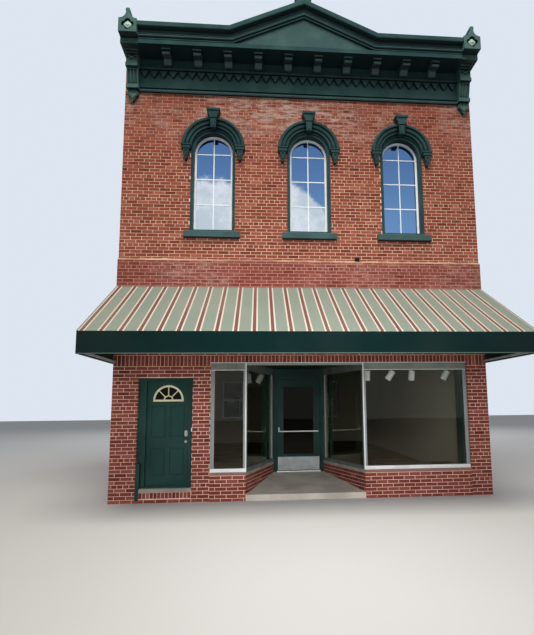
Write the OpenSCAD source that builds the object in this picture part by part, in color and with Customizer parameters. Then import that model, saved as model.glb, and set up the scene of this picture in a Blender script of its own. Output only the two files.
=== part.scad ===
// Two-storey brick shop building from the middle of a row: a recessed shop entry
// under a fixed canvas awning, three arched windows and a bracketed metal cornice.
// Millimetres, +Z up, the street front looks towards -Y.
// Every module is drawn with Y = 0 on the face of the upper front wall, and
// on_site() then centres the whole building on the origin.

/* [Building] */
// Width of the front between the two party lines
building_width = 7300; // [7000:50:7800]
// Depth from the face of the upper front wall to the back face
building_depth = 12000; // [9000:250:14000]
// Thickness of the brick walls
wall_thickness = 330; // [300:10:360]
// How far the storefront brick stands in front of the upper wall
storefront_step = 67; // [50:1:90]
// Level of the shop floor above the lowest pavement corner
ground_floor_level = 280; // [270:1:285]
// Level of the upper floor
upper_floor_level = 4400; // [4300:10:4500]
// Thickness of the upper floor with its joists and ceiling
upper_floor_thickness = 300; // [250:10:350]
// Depth of the roof's front edge below the crown moulding
roof_below_crown = 300; // [250:10:400]
// Fall of the roof towards the back
roof_fall = 350; // [200:10:450]
// Thickness of the roof with its joists
roof_thickness = 260; // [200:10:300]
// Height of the side and back parapets above the roof
parapet_height = 320; // [250:10:400]
// Overhang of the back coping behind the wall
coping_overhang = 40; // [30:5:60]
// Thickness of the coping tiles
coping_thickness = 60; // [50:5:80]

/* [Storefront] */
// Head of the shop opening
shop_head = 2590; // [2550:5:2620]
// Top of the storefront brick band
band_top = 4630; // [4600:5:4660]
// Width of the brick pier at the left party line
left_pier_width = 476; // [450:1:500]
// Width of the brick pier between the side door and the shop window
middle_pier_width = 332; // [300:1:360]
// Width of the brick pier at the right party line
right_pier_width = 406; // [360:1:450]
// Half width of the entry recess at the street
recess_outer_half = 1145; // [1080:5:1200]
// Half width of the entry recess at the door
recess_inner_half = 575; // [560:5:600]
// Depth of the recess from the storefront face to the door
recess_depth = 1930; // [1800:10:2100]
// Level of the ramp at the street
ramp_start = 110; // [90:5:130]
// Level of the top of the bulkhead brickwork
bulkhead_top = 470; // [440:5:490]
// Thickness of the bulkhead walls
bulkhead_thickness = 210; // [190:5:230]
// Thickness of the sills on the bulkheads
bulkhead_sill = 50; // [40:5:60]
// Overhang of the sills in front of the bulkheads
sill_overhang = 15; // [10:1:20]
// Set-back of the shop windows behind the storefront face
window_setback = 45; // [35:5:60]
// Width of the aluminium posts at the corners of the recess
shop_post = 46; // [44:1:50]
// Width of the window jambs at the piers
shop_jamb = 74; // [60:1:125]
// Height of the window heads
shop_head_bar = 150; // [120:5:170]
// Height of the bottom bars of the windows
shop_foot_bar = 70; // [60:2:80]
// Depth of the window bars
shop_bar_depth = 60; // [50:5:70]
// Thickness of the shop window glass
shop_glass = 10; // [6:1:12]
// Thickness of the boarded ceiling over the shopfront
soffit_thickness = 50; // [40:5:60]
// Depth of the display decks behind the street face
deck_depth = 1150; // [1000:25:1300]
// Thickness of the display deck boards
deck_board = 30; // [25:1:36]

/* [Side door] */
// Width of the side doorway
side_door_width = 1023; // [1000:1:1050]
// Level of the side doorway's brick sill
side_door_step = 240; // [230:1:250]
// Height of the brickwork between the side doorway's head and the head of the shop opening
side_door_lintel = 290; // [270:5:310]
// Width of the side door leaf
side_leaf_width = 820; // [780:1:840]
// Width of the frame at the hinge side
side_hinge_jamb = 125; // [110:1:130]
// Set-back of the side door frame behind the storefront face
side_frame_setback = 95; // [80:5:110]
// Depth of the side door frame
side_frame_depth = 130; // [120:5:150]
// Thickness of both door leaves
leaf_thickness = 45; // [40:1:50]
// Running gap round both door leaves
leaf_gap = 6; // [5:0.5:7]
// Radius of the half-round fanlight
fanlight_radius = 262; // [240:1:280]
// Distance of the fanlight's straight edge below the top of the leaf
fanlight_drop = 390; // [370:5:400]
// Height of the knob
knob_level = 1095; // [1050:5:1130]
// Height of the dead lock above the knob
dead_lock_rise = 162; // [140:1:180]

/* [Entry door] */
// Width of the shop door leaf
entry_leaf_width = 985; // [960:1:995]
// Height of the panel over the shop door
entry_head_panel = 240; // [190:5:290]
// Width of the shop door's stiles
entry_stile = 150; // [130:5:170]
// Level of the bottom of the shop door's glass
entry_glass_bottom = 670; // [650:5:700]
// Height of the push bar
push_bar_level = 1175; // [1100:5:1250]
// Diameter of the push bar
push_bar_diameter = 22; // [18:1:24]
// Height of the kick plate
kick_plate_height = 290; // [250:5:300]

/* [Upper windows] */
// Distance between the window centres
window_pitch = 1963; // [1900:1:2020]
// Shift of the middle window from the centre line
window_shift = 120; // [80:1:160]
// Width of the brick openings
window_width = 900; // [860:5:940]
// Height of the tops of the sills above the storefront band
window_sill_rise = 580; // [550:5:610]
// Height of the springing of the arches above the sills
window_straight = 1740; // [1690:5:1790]
// Width of the painted casings in the reveals
casing_width = 60; // [50:1:85]
// Depth of the casings
casing_depth = 222; // [200:2:240]
// Width of the window frames' bars
sash_width = 40; // [36:1:50]
// Depth of the window frames
sash_depth = 60; // [50:1:70]
// Set-back of the casings behind the wall face
casing_setback = 8; // [4:1:20]
// Thickness of the upper glass
upper_glass = 6; // [4:1:8]
// Height of the sills
sill_height = 129; // [115:1:140]
// Projection of the sills
sill_reach = 95; // [80:5:110]

/* [Window hoods] */
// Width of the hoods' half-round bands
hood_width = 202; // [185:1:220]
// Projection of the hoods
hood_reach = 140; // [120:5:160]
// Height of the drop consoles, ledge and pendant
hood_drop_height = 316; // [290:1:340]
// Width of the drop consoles
hood_drop_width = 150; // [130:5:160]

/* [Cornice] */
// Height of the bottom of the cornice above the springing of the arches
cornice_rise = 1220; // [1180:5:1260]
// Height of the architrave and frieze, up to the soffit
frieze_height = 710; // [690:5:730]
// Height of the bed moulding and modillions, below the soffit
bed_height = 250; // [240:5:260]
// Height of the fascia, above the soffit
fascia_height = 70; // [65:1:80]
// Height of the crown moulding
crown_height = 320; // [300:5:340]
// Projection of the fascia
fascia_reach = 600; // [560:5:640]
// Projection of the crown moulding
crown_reach = 715; // [690:5:740]
// Rise of the pediment above the level crown
pediment_rise = 670; // [600:5:730]
// Half width of the pediment at the top of the crown
pediment_half = 1510; // [1450:5:1560]
// Number of modillions
modillion_count = 10; // [8:1:12]
// Distance between the modillions
modillion_pitch = 618; // [500:1:630]
// Width of the modillions
modillion_width = 150; // [120:5:170]
// Number of teeth in the sawtooth board
tooth_count = 35; // [30:1:38]
// Width of the end blocks
end_block_width = 350; // [330:5:370]
// Width of the end consoles
console_width = 224; // [200:4:240]

/* [Awning] */
// Projection of the awning from the storefront face
awning_reach = 2120; // [1900:10:2300]
// Level of the top of the canvas at the wall
awning_back_level = 4080; // [4040:5:4120]
// Level of the top of the canvas at the front
awning_front_level = 2920; // [2880:5:2960]
// Height of the valance, from the canvas's front edge to its hem
valance_height = 360; // [340:5:400]
// Thickness of the canvas solids
canvas_thickness = 12; // [10:1:16]
// Width of the square steel tubes
awning_tube = 34; // [30:1:40]
// Number of rafters
rafter_count = 8; // [6:1:9]

/* [Back wall] */
// Width of the window openings in the back wall
rear_opening_width = 860; // [800:10:900]
// Level of the upper windows' sills
rear_upper_sill = 5250; // [5150:10:5350]
// Level of the upper windows' heads
rear_upper_head = 7050; // [6900:10:7200]
// Level of the lower windows' sills
rear_lower_sill = 1250; // [1100:10:1400]
// Level of the lower windows' heads
rear_lower_head = 2750; // [2600:10:2900]
// Width of the back door
rear_door_width = 960; // [900:10:1000]
// Level of the back door's head
rear_door_head = 2450; // [2350:10:2500]
// Width of the back window frames' bars
rear_bar = 60; // [50:2:70]

/* [Hidden] */
$fn = 48;

brick_red = "#8b4335";
brick_deep = "#7a3a31";
stone_grey = "#9b978c";
paint_green = "#2f4a42";
door_green = "#1f332d";
frame_grey = "#8d938f";
pane = [0.35, 0.45, 0.5, 0.45];

half_width = building_width / 2;
inner_half = half_width - wall_thickness;
side_door_left = half_width - left_pier_width;
side_door_right = side_door_left - side_door_width;
shop_left = side_door_right - middle_pier_width;
shop_right = half_width - right_pier_width;

// Levels, from the storefront band up to the pediment
window_sill_level = band_top + window_sill_rise;
window_spring = window_sill_level + window_straight;
cornice_bottom = window_spring + cornice_rise;
cornice_soffit = cornice_bottom + frieze_height;
crown_bottom = cornice_soffit + fascia_height;
crown_top = crown_bottom + crown_height;
pediment_apex = crown_top + pediment_rise;
roof_level = crown_bottom - roof_below_crown;
front_reach = storefront_step + awning_reach;
site_y = (front_reach - building_depth - coping_overhang) / 2;
// Faces that curve or turn together stand this far apart
seat_gap = 0.4;
back_inner = building_depth - wall_thickness;

store_face = -storefront_step;
door_plane = store_face + recess_depth;
recess_slope = (recess_outer_half - recess_inner_half) / recess_depth;
recess_angle = atan(recess_slope);
bulkhead_run = bulkhead_thickness / cos(recess_angle);
frame_bottom = bulkhead_top + bulkhead_sill;
function recess_half(y) = recess_inner_half + recess_slope * (door_plane - y);

side_door_head = shop_head - side_door_lintel;
side_leaf_x = -side_door_left + side_hinge_jamb + leaf_gap;
side_frame_y = store_face + side_frame_setback;
side_threshold_top = side_door_step + 42;
side_leaf_bottom = max(side_threshold_top, ground_floor_level) + leaf_gap + 2;
side_head_bar = 34;
plinth_height = 470;
plinth_width = 70;
side_leaf_top = side_door_head - side_head_bar - leaf_gap;
fanlight_level = side_leaf_top - fanlight_drop;
dead_lock_level = knob_level + dead_lock_rise;
side_frame_back = side_frame_y + side_frame_depth;
side_leaf_y = side_frame_back - leaf_thickness;

entry_threshold_top = ground_floor_level + 22;
entry_head = shop_head - entry_head_panel;
entry_leaf_bottom = entry_threshold_top + leaf_gap;
entry_leaf_top = entry_head - leaf_gap;
entry_top_rail = 165;
entry_leaf_x = -entry_leaf_width / 2;
entry_frame_depth = 110;
entry_glass_width = entry_leaf_width - 2 * entry_stile;
entry_glass_top = entry_leaf_top - entry_top_rail;

knuckle_radius = 9;
pin_radius = 4.5;
hinge_offset = knuckle_radius + leaf_gap;
hinge_height = 100;

arch_radius = window_width / 2;
casing_inner = arch_radius - casing_width;
sash_inner = casing_inner - sash_width;
window_centres = [for (i = [-1:1]) window_shift + i * window_pitch];
hood_level = window_spring + 40;

rake_angle = atan(pediment_rise / pediment_half);
end_block_x = half_width - end_block_width / 2;
crown_half = half_width - end_block_width;

awning_pitch = atan((awning_back_level - awning_front_level) / awning_reach);
awning_front = store_face - awning_reach;
valance_hem = awning_front_level - valance_height;
// Height of the canvas measured straight down
canvas_drop = canvas_thickness / cos(awning_pitch);
awning_slope = sqrt(pow(awning_back_level - awning_front_level, 2) + pow(awning_reach, 2));

// Moves a drawing from the front wall's frame to the building's own frame
module on_site() translate([0, site_y, 0]) children();

// A box from its lowest to its highest corner
module block(low, high) translate(low) cube(high - low);

// Draws an outline in (Y, Z) and carries it along X
module along_x(x0, x1) translate([x0, 0, 0]) rotate([90, 0, 90]) linear_extrude(x1 - x0) children();

// Draws an outline in (X, Z) and carries it along Y
module along_y(y0, y1) translate([0, y1, 0]) rotate([90, 0, 0]) linear_extrude(y1 - y0) children();

// A plan outline carried up
module rise(z0, z1) translate([0, 0, z0]) linear_extrude(z1 - z0) children();

// Points on an arc from angle a to angle b
function arc(cx, cy, r, a, b, n = 8) =
    [for (i = [0:n]) let (t = a + (b - a) * i / n) [cx + r * cos(t), cy + r * sin(t)]];

// Side wall with its parapet, sloped with the roof
side_top = roof_level + parapet_height;
rear_top = side_top - roof_fall;
module party_wall(x0) along_x(x0, x0 + wall_thickness)
    polygon([[wall_thickness, 0], [back_inner, 0], [back_inner, rear_top], [wall_thickness, side_top]]);

module left_party_wall() on_site() color(brick_red) party_wall(-half_width);
module right_party_wall() on_site() color(brick_red) party_wall(inner_half);

// Back wall: two storeys of plain openings that repeat the front's rhythm
module rear_opening(x, z0, z1, w = rear_opening_width)
    block([x - w / 2, back_inner - 1, z0], [x + w / 2, building_depth + 1, z1]);
module rear_wall() on_site() color(brick_red) difference() {
    block([-half_width, back_inner, 0], [half_width, building_depth, rear_top]);
    for (i = [-1:1]) rear_opening(i * window_pitch, rear_upper_sill, rear_upper_head);
    for (i = [-1, 1]) rear_opening(i * window_pitch, rear_lower_sill, rear_lower_head);
    rear_opening(0, ground_floor_level, rear_door_head, rear_door_width);
}

// Outline of a round-headed opening of radius r
module arched_outline(r, bottom, spring) {
    translate([-r, bottom]) square([2 * r, spring - bottom]);
    translate([0, spring]) circle(r, $fn = 96);
}

module upper_front_wall() on_site() color(brick_red) difference() {
    block([-half_width, 0, band_top], [half_width, wall_thickness, crown_bottom]);
    for (x = window_centres)
        translate([x, 0, 0]) along_y(-1, wall_thickness + 1)
            arched_outline(arch_radius, window_sill_level - sill_height, window_spring);
}

// Brick over the whole storefront, with its weathered top slope
module storefront_header() on_site() color(brick_deep) along_x(-half_width, half_width)
    polygon([[store_face, shop_head], [wall_thickness, shop_head], [wall_thickness, band_top],
        [0, band_top], [store_face, band_top - storefront_step / 3]]);

module pier(x0, x1) block([x0, store_face, 0], [x1, wall_thickness, shop_head]);
module left_pier() on_site() color(brick_deep) pier(-half_width, -side_door_left);
module middle_pier() on_site() color(brick_deep) pier(-side_door_right, -shop_left);
module right_pier() on_site() color(brick_deep) pier(shop_right, half_width);
module side_door_head_wall() on_site() color(brick_deep)
    block([-side_door_left, store_face, side_door_head], [-side_door_right, wall_thickness, shop_head]);
module side_door_step() on_site() color(brick_deep)
    block([-side_door_left, store_face, 0], [-side_door_right, wall_thickness, side_door_step]);

// Plan of the right bulkhead: along the street from x0, then back along the recess to the door
bulkhead_back = store_face + bulkhead_thickness;
module bulkhead_plan(x0, grow = 0) polygon([
    [x0, store_face - grow], [recess_half(store_face) - grow, store_face - grow],
    [recess_half(door_plane) - grow, door_plane], [recess_half(door_plane) + bulkhead_run, door_plane],
    [recess_half(bulkhead_back) + bulkhead_run, bulkhead_back], [x0, bulkhead_back]]);
module left_bulkhead() on_site() color(brick_deep)
    rise(0, bulkhead_top) mirror([1, 0]) bulkhead_plan(shop_left);
module right_bulkhead() on_site() color(brick_deep)
    rise(0, bulkhead_top) bulkhead_plan(shop_right);
module bulkhead_sills() on_site() color(stone_grey) rise(bulkhead_top, frame_bottom) {
    mirror([1, 0]) bulkhead_plan(shop_left, sill_overhang);
    bulkhead_plan(shop_right, sill_overhang);
}

// Paved ramp that rises from the street to the shop door
module entry_ramp() on_site() color(stone_grey) intersection() {
    along_x(-recess_outer_half, recess_outer_half)
        polygon([[store_face, 0], [door_plane, 0],
            [door_plane, ground_floor_level], [store_face, ramp_start]]);
    rise(0, ground_floor_level + 1)
        polygon([[-recess_half(store_face), store_face], [recess_half(store_face), store_face],
            [recess_half(door_plane), door_plane], [-recess_half(door_plane), door_plane]]);
}

// Shop floor with the notch that the recess and its bulkheads take
module ground_floor() on_site() color("#8a7762") rise(0, ground_floor_level) difference() {
    translate([-inner_half, wall_thickness])
        square([2 * inner_half, back_inner - wall_thickness]);
    notch_front = recess_half(0) + bulkhead_run + seat_gap;
    notch_back = recess_half(door_plane) + bulkhead_run + seat_gap;
    polygon([[-notch_front, 0], [notch_front, 0], [notch_back, door_plane], [-notch_back, door_plane]]);
}

module upper_floor() on_site() color("#8a7762")
    block([-inner_half, wall_thickness, upper_floor_level - upper_floor_thickness],
        [inner_half, back_inner, upper_floor_level]);

module roof() on_site() color("#5d5f5e") along_x(-inner_half, inner_half)
    polygon([[wall_thickness, roof_level - roof_thickness],
        [back_inner, roof_level - roof_fall - roof_thickness],
        [back_inner, roof_level - roof_fall], [wall_thickness, roof_level]]);

// Tile copings on the side and back parapets. The back one has a lip inside and a sloped edge outside
coping_lip = rear_top + coping_thickness * 0.6;
module parapet_coping() on_site() color("#7b4a3a") {
    for (x = [-half_width, inner_half]) along_x(x, x + wall_thickness)
        polygon([[wall_thickness, side_top], [back_inner, rear_top],
            [back_inner, rear_top + coping_thickness], [wall_thickness, side_top + coping_thickness]]);
    along_x(-half_width, half_width)
        polygon([[back_inner - coping_overhang, rear_top + coping_thickness],
            [back_inner - coping_overhang, coping_lip], [back_inner, coping_lip],
            [back_inner, rear_top], [building_depth + coping_overhang, rear_top],
            [building_depth + coping_overhang, coping_lip], [building_depth, rear_top + coping_thickness]]);
}

// Butt hinge about the Z axis: three knuckles on a pin. The leaf lies towards +X and -Y of it
knuckle_height = hinge_height / 3;
hinge_shares = [0.12, 0.5, 0.88];
module hinge_plate(x0, x1, h) translate([0, 0, -h / 2]) block([x0, -hinge_offset, 0], [x1, 0, h]);
module hinge_leaf_half() difference() {
    union() {
        cylinder(h = knuckle_height - 1, r = knuckle_radius, center = true);
        hinge_plate(0, hinge_offset, knuckle_height - 1);
    }
    cylinder(h = hinge_height, r = pin_radius + 0.3, center = true);
}
module hinge_frame_half() {
    cylinder(h = hinge_height, r = pin_radius, center = true);
    for (s = [-1, 1]) translate([0, 0, s * knuckle_height]) {
        cylinder(h = knuckle_height, r = knuckle_radius, center = true);
        hinge_plate(-hinge_offset, 0, knuckle_height);
    }
}
module at_side_hinges() for (t = hinge_shares)
    translate([side_leaf_x - leaf_gap / 2, side_leaf_y + leaf_thickness + hinge_offset,
        side_leaf_bottom + t * (side_leaf_top - side_leaf_bottom)]) children();
module at_entry_hinges() for (t = hinge_shares)
    translate([-entry_leaf_x + leaf_gap / 2, door_plane - hinge_offset,
        entry_leaf_bottom + t * (entry_leaf_top - entry_leaf_bottom)]) rotate(180) children();

// Frame of the side door: jambs with stops on the street side, head, threshold and plinth
stop_width = 14;
stop_gap = 5;
module side_door_frame() on_site() color(paint_green) {
    difference() {
        union() {
            block([-side_door_left, side_frame_y, side_door_step],
                [-side_door_right, side_frame_back, side_door_head]);
            block([-side_door_left, store_face + 12, side_door_step],
                [-side_door_left + plinth_width, side_frame_y, side_door_step + plinth_height]);
        }
        block([side_leaf_x - leaf_gap, side_leaf_y - stop_gap, side_threshold_top],
            [side_leaf_x + side_leaf_width + leaf_gap, side_frame_back + 1, side_leaf_top + leaf_gap]);
        block([side_leaf_x + stop_width, side_frame_y - 1, side_threshold_top],
            [side_leaf_x + side_leaf_width - stop_width, side_leaf_y, side_leaf_top - stop_width]);
    }
    at_side_hinges() hinge_frame_half();
}

// Sunk line round a raised panel, on both faces of the side door leaf
panel_groove = 18;
groove_depth = 7;
side_panel_width = 268;
side_panel_x = side_panel_width / 2 + 45;
side_leaf_centre = side_leaf_x + side_leaf_width / 2;
module panel_grooves(x, z0, z1) for (y = [side_leaf_y - 1, side_leaf_y + leaf_thickness - groove_depth])
    difference() {
        half = side_panel_width / 2;
        inner = half - panel_groove;
        block([x - half, y, z0], [x + half, y + groove_depth + 1, z1]);
        block([x - inner, y - 1, z0 + panel_groove], [x + inner, y + groove_depth + 2, z1 - panel_groove]);
    }
module fanlight_outline(r) intersection() {
    translate([0, fanlight_level]) circle(r, $fn = 96);
    translate([-r, fanlight_level]) square([2 * r, r]);
}
module side_door_leaf() on_site() color(door_green) {
    difference() {
        block([side_leaf_x, side_leaf_y, side_leaf_bottom],
            [side_leaf_x + side_leaf_width, side_leaf_y + leaf_thickness, side_leaf_top]);
        translate([side_leaf_centre, 0, 0]) along_y(side_leaf_y - 1, side_leaf_y + leaf_thickness + 1)
            fanlight_outline(fanlight_radius);
        for (s = [-1, 1]) {
            panel_grooves(side_leaf_centre + s * side_panel_x, knob_level + 85, fanlight_level - 95);
            panel_grooves(side_leaf_centre + s * side_panel_x, side_leaf_bottom + 190, knob_level - 115);
        }
    }
    at_side_hinges() hinge_leaf_half();
}
module side_door_fanlight() on_site() color(pane) translate([side_leaf_centre, 0, 0])
    along_y(side_leaf_y + 16, side_leaf_y + leaf_thickness - 16) fanlight_outline(fanlight_radius - seat_gap);

// Knob and dead lock, on both faces, turned about Y. A profile is radius and height above the face
knob_profile = [[0, 0], [29, 0], [29, 6], [12, 9], [11, 26], [24, 34], [27, 46], [20, 58], [0, 61]];
dead_lock_profile = [[0, 0], [27, 0], [24, 16], [0, 19]];
lock_plate = [58, 118, 6];
lock_backset = 62;
module turned(z, y, out) translate([side_leaf_x + side_leaf_width - lock_backset, y, z])
    rotate([out * 90, 0, 0]) rotate_extrude() children();
module side_door_lock() on_site() color("#b9b3a4") {
    for (s = [[side_leaf_y, 1], [side_leaf_y + leaf_thickness, -1]]) {
        turned(knob_level, s[0], s[1]) polygon(knob_profile);
        turned(dead_lock_level, s[0], s[1]) polygon(dead_lock_profile);
        translate([side_leaf_x + side_leaf_width - lock_backset, s[0], dead_lock_level - 8])
            rotate([s[1] * 90, 0, 0]) linear_extrude(lock_plate[2]) hull() for (z = [-1, 1])
                translate([0, z * (lock_plate[1] - lock_plate[0]) / 2]) circle(d = lock_plate[0]);
    }
}

// Frame of the shop door: posts with stops on the shop side, head panel and threshold
module entry_door_frame() on_site() color(door_green) {
    difference() {
        block([-recess_inner_half, door_plane, ground_floor_level],
            [recess_inner_half, door_plane + entry_frame_depth, shop_head]);
        block([entry_leaf_x - leaf_gap, door_plane - 1, entry_threshold_top],
            [-entry_leaf_x + leaf_gap, door_plane + leaf_thickness + stop_gap, entry_head]);
        block([entry_leaf_x + stop_width, door_plane, entry_threshold_top],
            [-entry_leaf_x - stop_width, door_plane + entry_frame_depth + 1, entry_leaf_top - stop_width]);
    }
    at_entry_hinges() hinge_frame_half();
}
module entry_door_leaf() on_site() color(door_green) {
    difference() {
        block([entry_leaf_x, door_plane, entry_leaf_bottom],
            [-entry_leaf_x, door_plane + leaf_thickness, entry_leaf_top]);
        block([-entry_glass_width / 2, door_plane - 1, entry_glass_bottom],
            [entry_glass_width / 2, door_plane + leaf_thickness + 1, entry_glass_top]);
    }
    at_entry_hinges() hinge_leaf_half();
}
module entry_door_glass() on_site() color(pane)
    block([-entry_glass_width / 2, door_plane + 18, entry_glass_bottom],
        [entry_glass_width / 2, door_plane + 27, entry_glass_top]);

// Push bar across the shop door on two brackets
bar_standoff = 42;
bar_half = entry_leaf_width / 2 - 45;
bracket_half = 11;
bracket_x = bar_half - 2 * bracket_half;
module entry_push_bar() on_site() color("silver") {
    translate([-bar_half, door_plane - bar_standoff, push_bar_level]) rotate([0, 90, 0])
        cylinder(h = 2 * bar_half, d = push_bar_diameter);
    for (s = [-1, 1])
        block([s * bracket_x - bracket_half, door_plane - bar_standoff, push_bar_level - 9],
            [s * bracket_x + bracket_half, door_plane, push_bar_level + 9]);
}

// Kick plate on the street face of the shop door
kick_margin = 25;
kick_bottom = entry_leaf_bottom + 12;
module entry_kick_plate() on_site() color("silver")
    block([entry_leaf_x + kick_margin, door_plane - 3, kick_bottom],
        [-entry_leaf_x - kick_margin, door_plane, kick_bottom + kick_plate_height]);

// One framed light with its bottom left corner at the origin: a post, a head, a foot and a far bar
light_height = shop_head - frame_bottom;
pane_height = light_height - shop_head_bar - shop_foot_bar;
module light_frame(length, near, far) difference() {
    cube([length, shop_bar_depth, light_height]);
    translate([near, -1, shop_foot_bar]) cube([length - near - far, shop_bar_depth + 2, pane_height]);
}
module light_pane(length, near, far) translate([near, (shop_bar_depth - shop_glass) / 2, shop_foot_bar])
    cube([length - near - far, shop_glass, pane_height]);

// Places for the street light and the angled recess light, right-hand side
window_face = store_face + window_setback;
street_light_x = recess_half(window_face) + shop_bar_depth * 0.3;
side_light_length = (recess_depth - window_setback) / cos(recess_angle) - 12;
door_post = 60;
module at_street_light() translate([street_light_x, window_face, frame_bottom]) children();
module at_side_light() translate([recess_half(door_plane) + 4, door_plane - 4, frame_bottom])
    rotate(-90 + recess_angle) children();
module shop_lights(x1) {
    at_street_light() light_frame(x1 - street_light_x, shop_post, shop_jamb);
    at_side_light() light_frame(side_light_length, door_post, shop_post);
}
module left_shop_window() on_site() color(frame_grey) mirror([1, 0, 0]) shop_lights(shop_left);
module right_shop_window() on_site() color(frame_grey) shop_lights(shop_right);
module shop_panes(x1) {
    at_street_light() light_pane(x1 - street_light_x, shop_post, shop_jamb);
    at_side_light() light_pane(side_light_length, door_post, shop_post);
}
module shop_window_glass() on_site() color(pane) {
    mirror([1, 0, 0]) shop_panes(shop_left);
    shop_panes(shop_right);
}

// Boarded ceiling over the recess and the display windows
module shopfront_ceiling() on_site() color(door_green)
    block([-shop_left, wall_thickness, shop_head],
        [inner_half, door_plane + entry_frame_depth, shop_head + soffit_thickness]);

// Display decks behind the shop windows, each on a back board that stands on the floor
deck_front = bulkhead_back + seat_gap;
deck_board_front = deck_depth - deck_board;
module deck(x1) {
    rise(frame_bottom - deck_board, frame_bottom) polygon([
        [recess_half(deck_front) + bulkhead_run + seat_gap, deck_front], [x1, deck_front],
        [x1, deck_depth], [recess_half(deck_depth) + bulkhead_run + seat_gap, deck_depth]]);
    block([recess_half(deck_board_front) + bulkhead_run + seat_gap, deck_board_front, ground_floor_level],
        [x1, deck_depth, frame_bottom - deck_board / 2]);
}
module display_decks() on_site() color("#7d6b52") {
    mirror([1, 0, 0]) deck(shop_left);
    deck(shop_right);
}

// Spot lamps on stems under the shopfront ceiling. Each has a place and a lean: its share of the way from
// the recess to the end of its bay, its depth behind the upper wall's face, and the angle that its top leans
// towards +X
right_lamps = [[0.088, 470, 0], [0.319, 470, 34], [0.537, 470, 4], [0.879, 470, 28]];
left_lamps = [[0.381, 1420, -8], [0.174, 1500, 30]];
lamp_places = concat(
    [for (p = right_lamps) [recess_outer_half + p[0] * (shop_right - recess_outer_half), p[1], p[2]]],
    [for (p = left_lamps) [-recess_half(p[1]) - p[0] * (shop_left - recess_half(p[1])), p[1], p[2]]]);
lamp_radius = 66;
lamp_length = 208;
lamp_drop = 235;
stem_radius = 9;
stem_length = lamp_drop - 60;
module display_lamps() on_site() color("white")
    for (place = lamp_places) translate([place[0], place[1], shop_head]) {
        translate([0, 0, -stem_length]) cylinder(h = stem_length, r = stem_radius);
        translate([0, 0, -lamp_drop]) rotate([8, place[2], 0])
            cylinder(h = lamp_length, r = lamp_radius, center = true);
    }

// Sills with a sloped top that run into the openings
sill_bottom = window_sill_level - sill_height;
sill_ear = 107;
casing_back = casing_setback + casing_depth;
sill_rise = 12;
module window_sills() on_site() color(paint_green) for (x = window_centres) {
    along_x(x - arch_radius, x + arch_radius)
        polygon([[0, sill_bottom], [casing_back, sill_bottom], [casing_back, window_sill_level],
            [0, window_sill_level]]);
    along_x(x - arch_radius - sill_ear, x + arch_radius + sill_ear)
        polygon([[-sill_reach, sill_bottom + 14], [-sill_reach + 14, sill_bottom], [0, sill_bottom],
            [0, window_sill_level + sill_rise], [-sill_reach + 6, window_sill_level + 2],
            [-sill_reach, window_sill_level - 4]]);
}

// A ring between two round-headed outlines, set between two depths
module arched_ring(r_out, r_in, y0, y1, bottom) along_y(y0, y1) difference() {
    arched_outline(r_out, window_sill_level + bottom, window_spring);
    arched_outline(r_in, window_sill_level + bottom + (r_out - r_in), window_spring);
}
module window_casings() on_site() color(paint_green) for (x = window_centres) translate([x, 0, 0])
    arched_ring(arch_radius - seat_gap, casing_inner, casing_setback, casing_back, 0);
module window_frames() on_site() color("#dcdcd6") for (x = window_centres) translate([x, 0, 0])
    arched_ring(casing_inner - seat_gap, sash_inner, casing_back - sash_depth, casing_back,
        casing_width + seat_gap);
module upper_window_glass() on_site() color(pane) for (x = window_centres) translate([x, 0, 0])
    along_y(casing_back - sash_depth / 2, casing_back - sash_depth / 2 + upper_glass)
        arched_outline(sash_inner - seat_gap, window_sill_level + casing_width + sash_width + 2 * seat_gap,
            window_spring);

// Half-round hood of three stepped bands, a flat liner that closes the crescent between it and the casing,
// a capped keystone and two drop consoles
hood_inner = arch_radius - 12;
hood_radius = hood_inner + hood_width;
hood_band = hood_width / 3;
first_step = hood_inner + hood_band;
second_step = hood_inner + 2 * hood_band;
hood_profile = [[hood_inner, 0], [hood_inner, 55], [hood_inner + 10, 66], [first_step - 8, 66],
    [first_step, 80], [first_step, 98], [second_step - 10, 104], [second_step, hood_reach - 14],
    [second_step + 10, hood_reach], [hood_radius - 12, hood_reach], [hood_radius, hood_reach - 22],
    [hood_radius, 0]];
liner_profile = [[hood_inner, 0], [hood_inner, 24], [second_step, 24], [second_step, 0]];
key_bottom = hood_level + hood_inner - 53;
key_top = hood_level + hood_radius + 150;
key_plate = key_top - 45;
key_flare = key_plate - 152;
key_face = -hood_reach - 45;
module keystone() {
    along_y(key_face, 0)
        polygon([[-50, key_bottom], [50, key_bottom], [68, key_flare + 1], [-68, key_flare + 1]]);
    along_y(key_face - 12, key_face + 1)
        polygon([[-22, key_bottom + 26], [22, key_bottom + 26], [38, key_flare - 24], [-38, key_flare - 24]]);
    along_y(key_face - 15, 0)
        polygon([[-72, key_flare], [72, key_flare], [82, key_flare + 62], [118, key_plate - 20],
            [122, key_plate + 1], [-122, key_plate + 1], [-118, key_plate - 20], [-82, key_flare + 62]]);
    along_y(key_face - 32, 0)
        polygon([[-130, key_plate], [130, key_plate], [138, key_top - 12], [138, key_top],
            [-138, key_top], [-138, key_top - 12]]);
}
module hood(x) translate([x, 0, 0]) {
    translate([0, 0, hood_level]) rotate([90, 0, 0])
        rotate_extrude(angle = 180, $fn = 96) polygon(hood_profile);
    translate([0, 0, window_spring]) rotate([90, 0, 0])
        rotate_extrude(angle = 180, $fn = 96) polygon(liner_profile);
    keystone();
    for (s = [-1, 1]) translate([s * (second_step - 30), 0, 0]) hood_drop();
}

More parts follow.
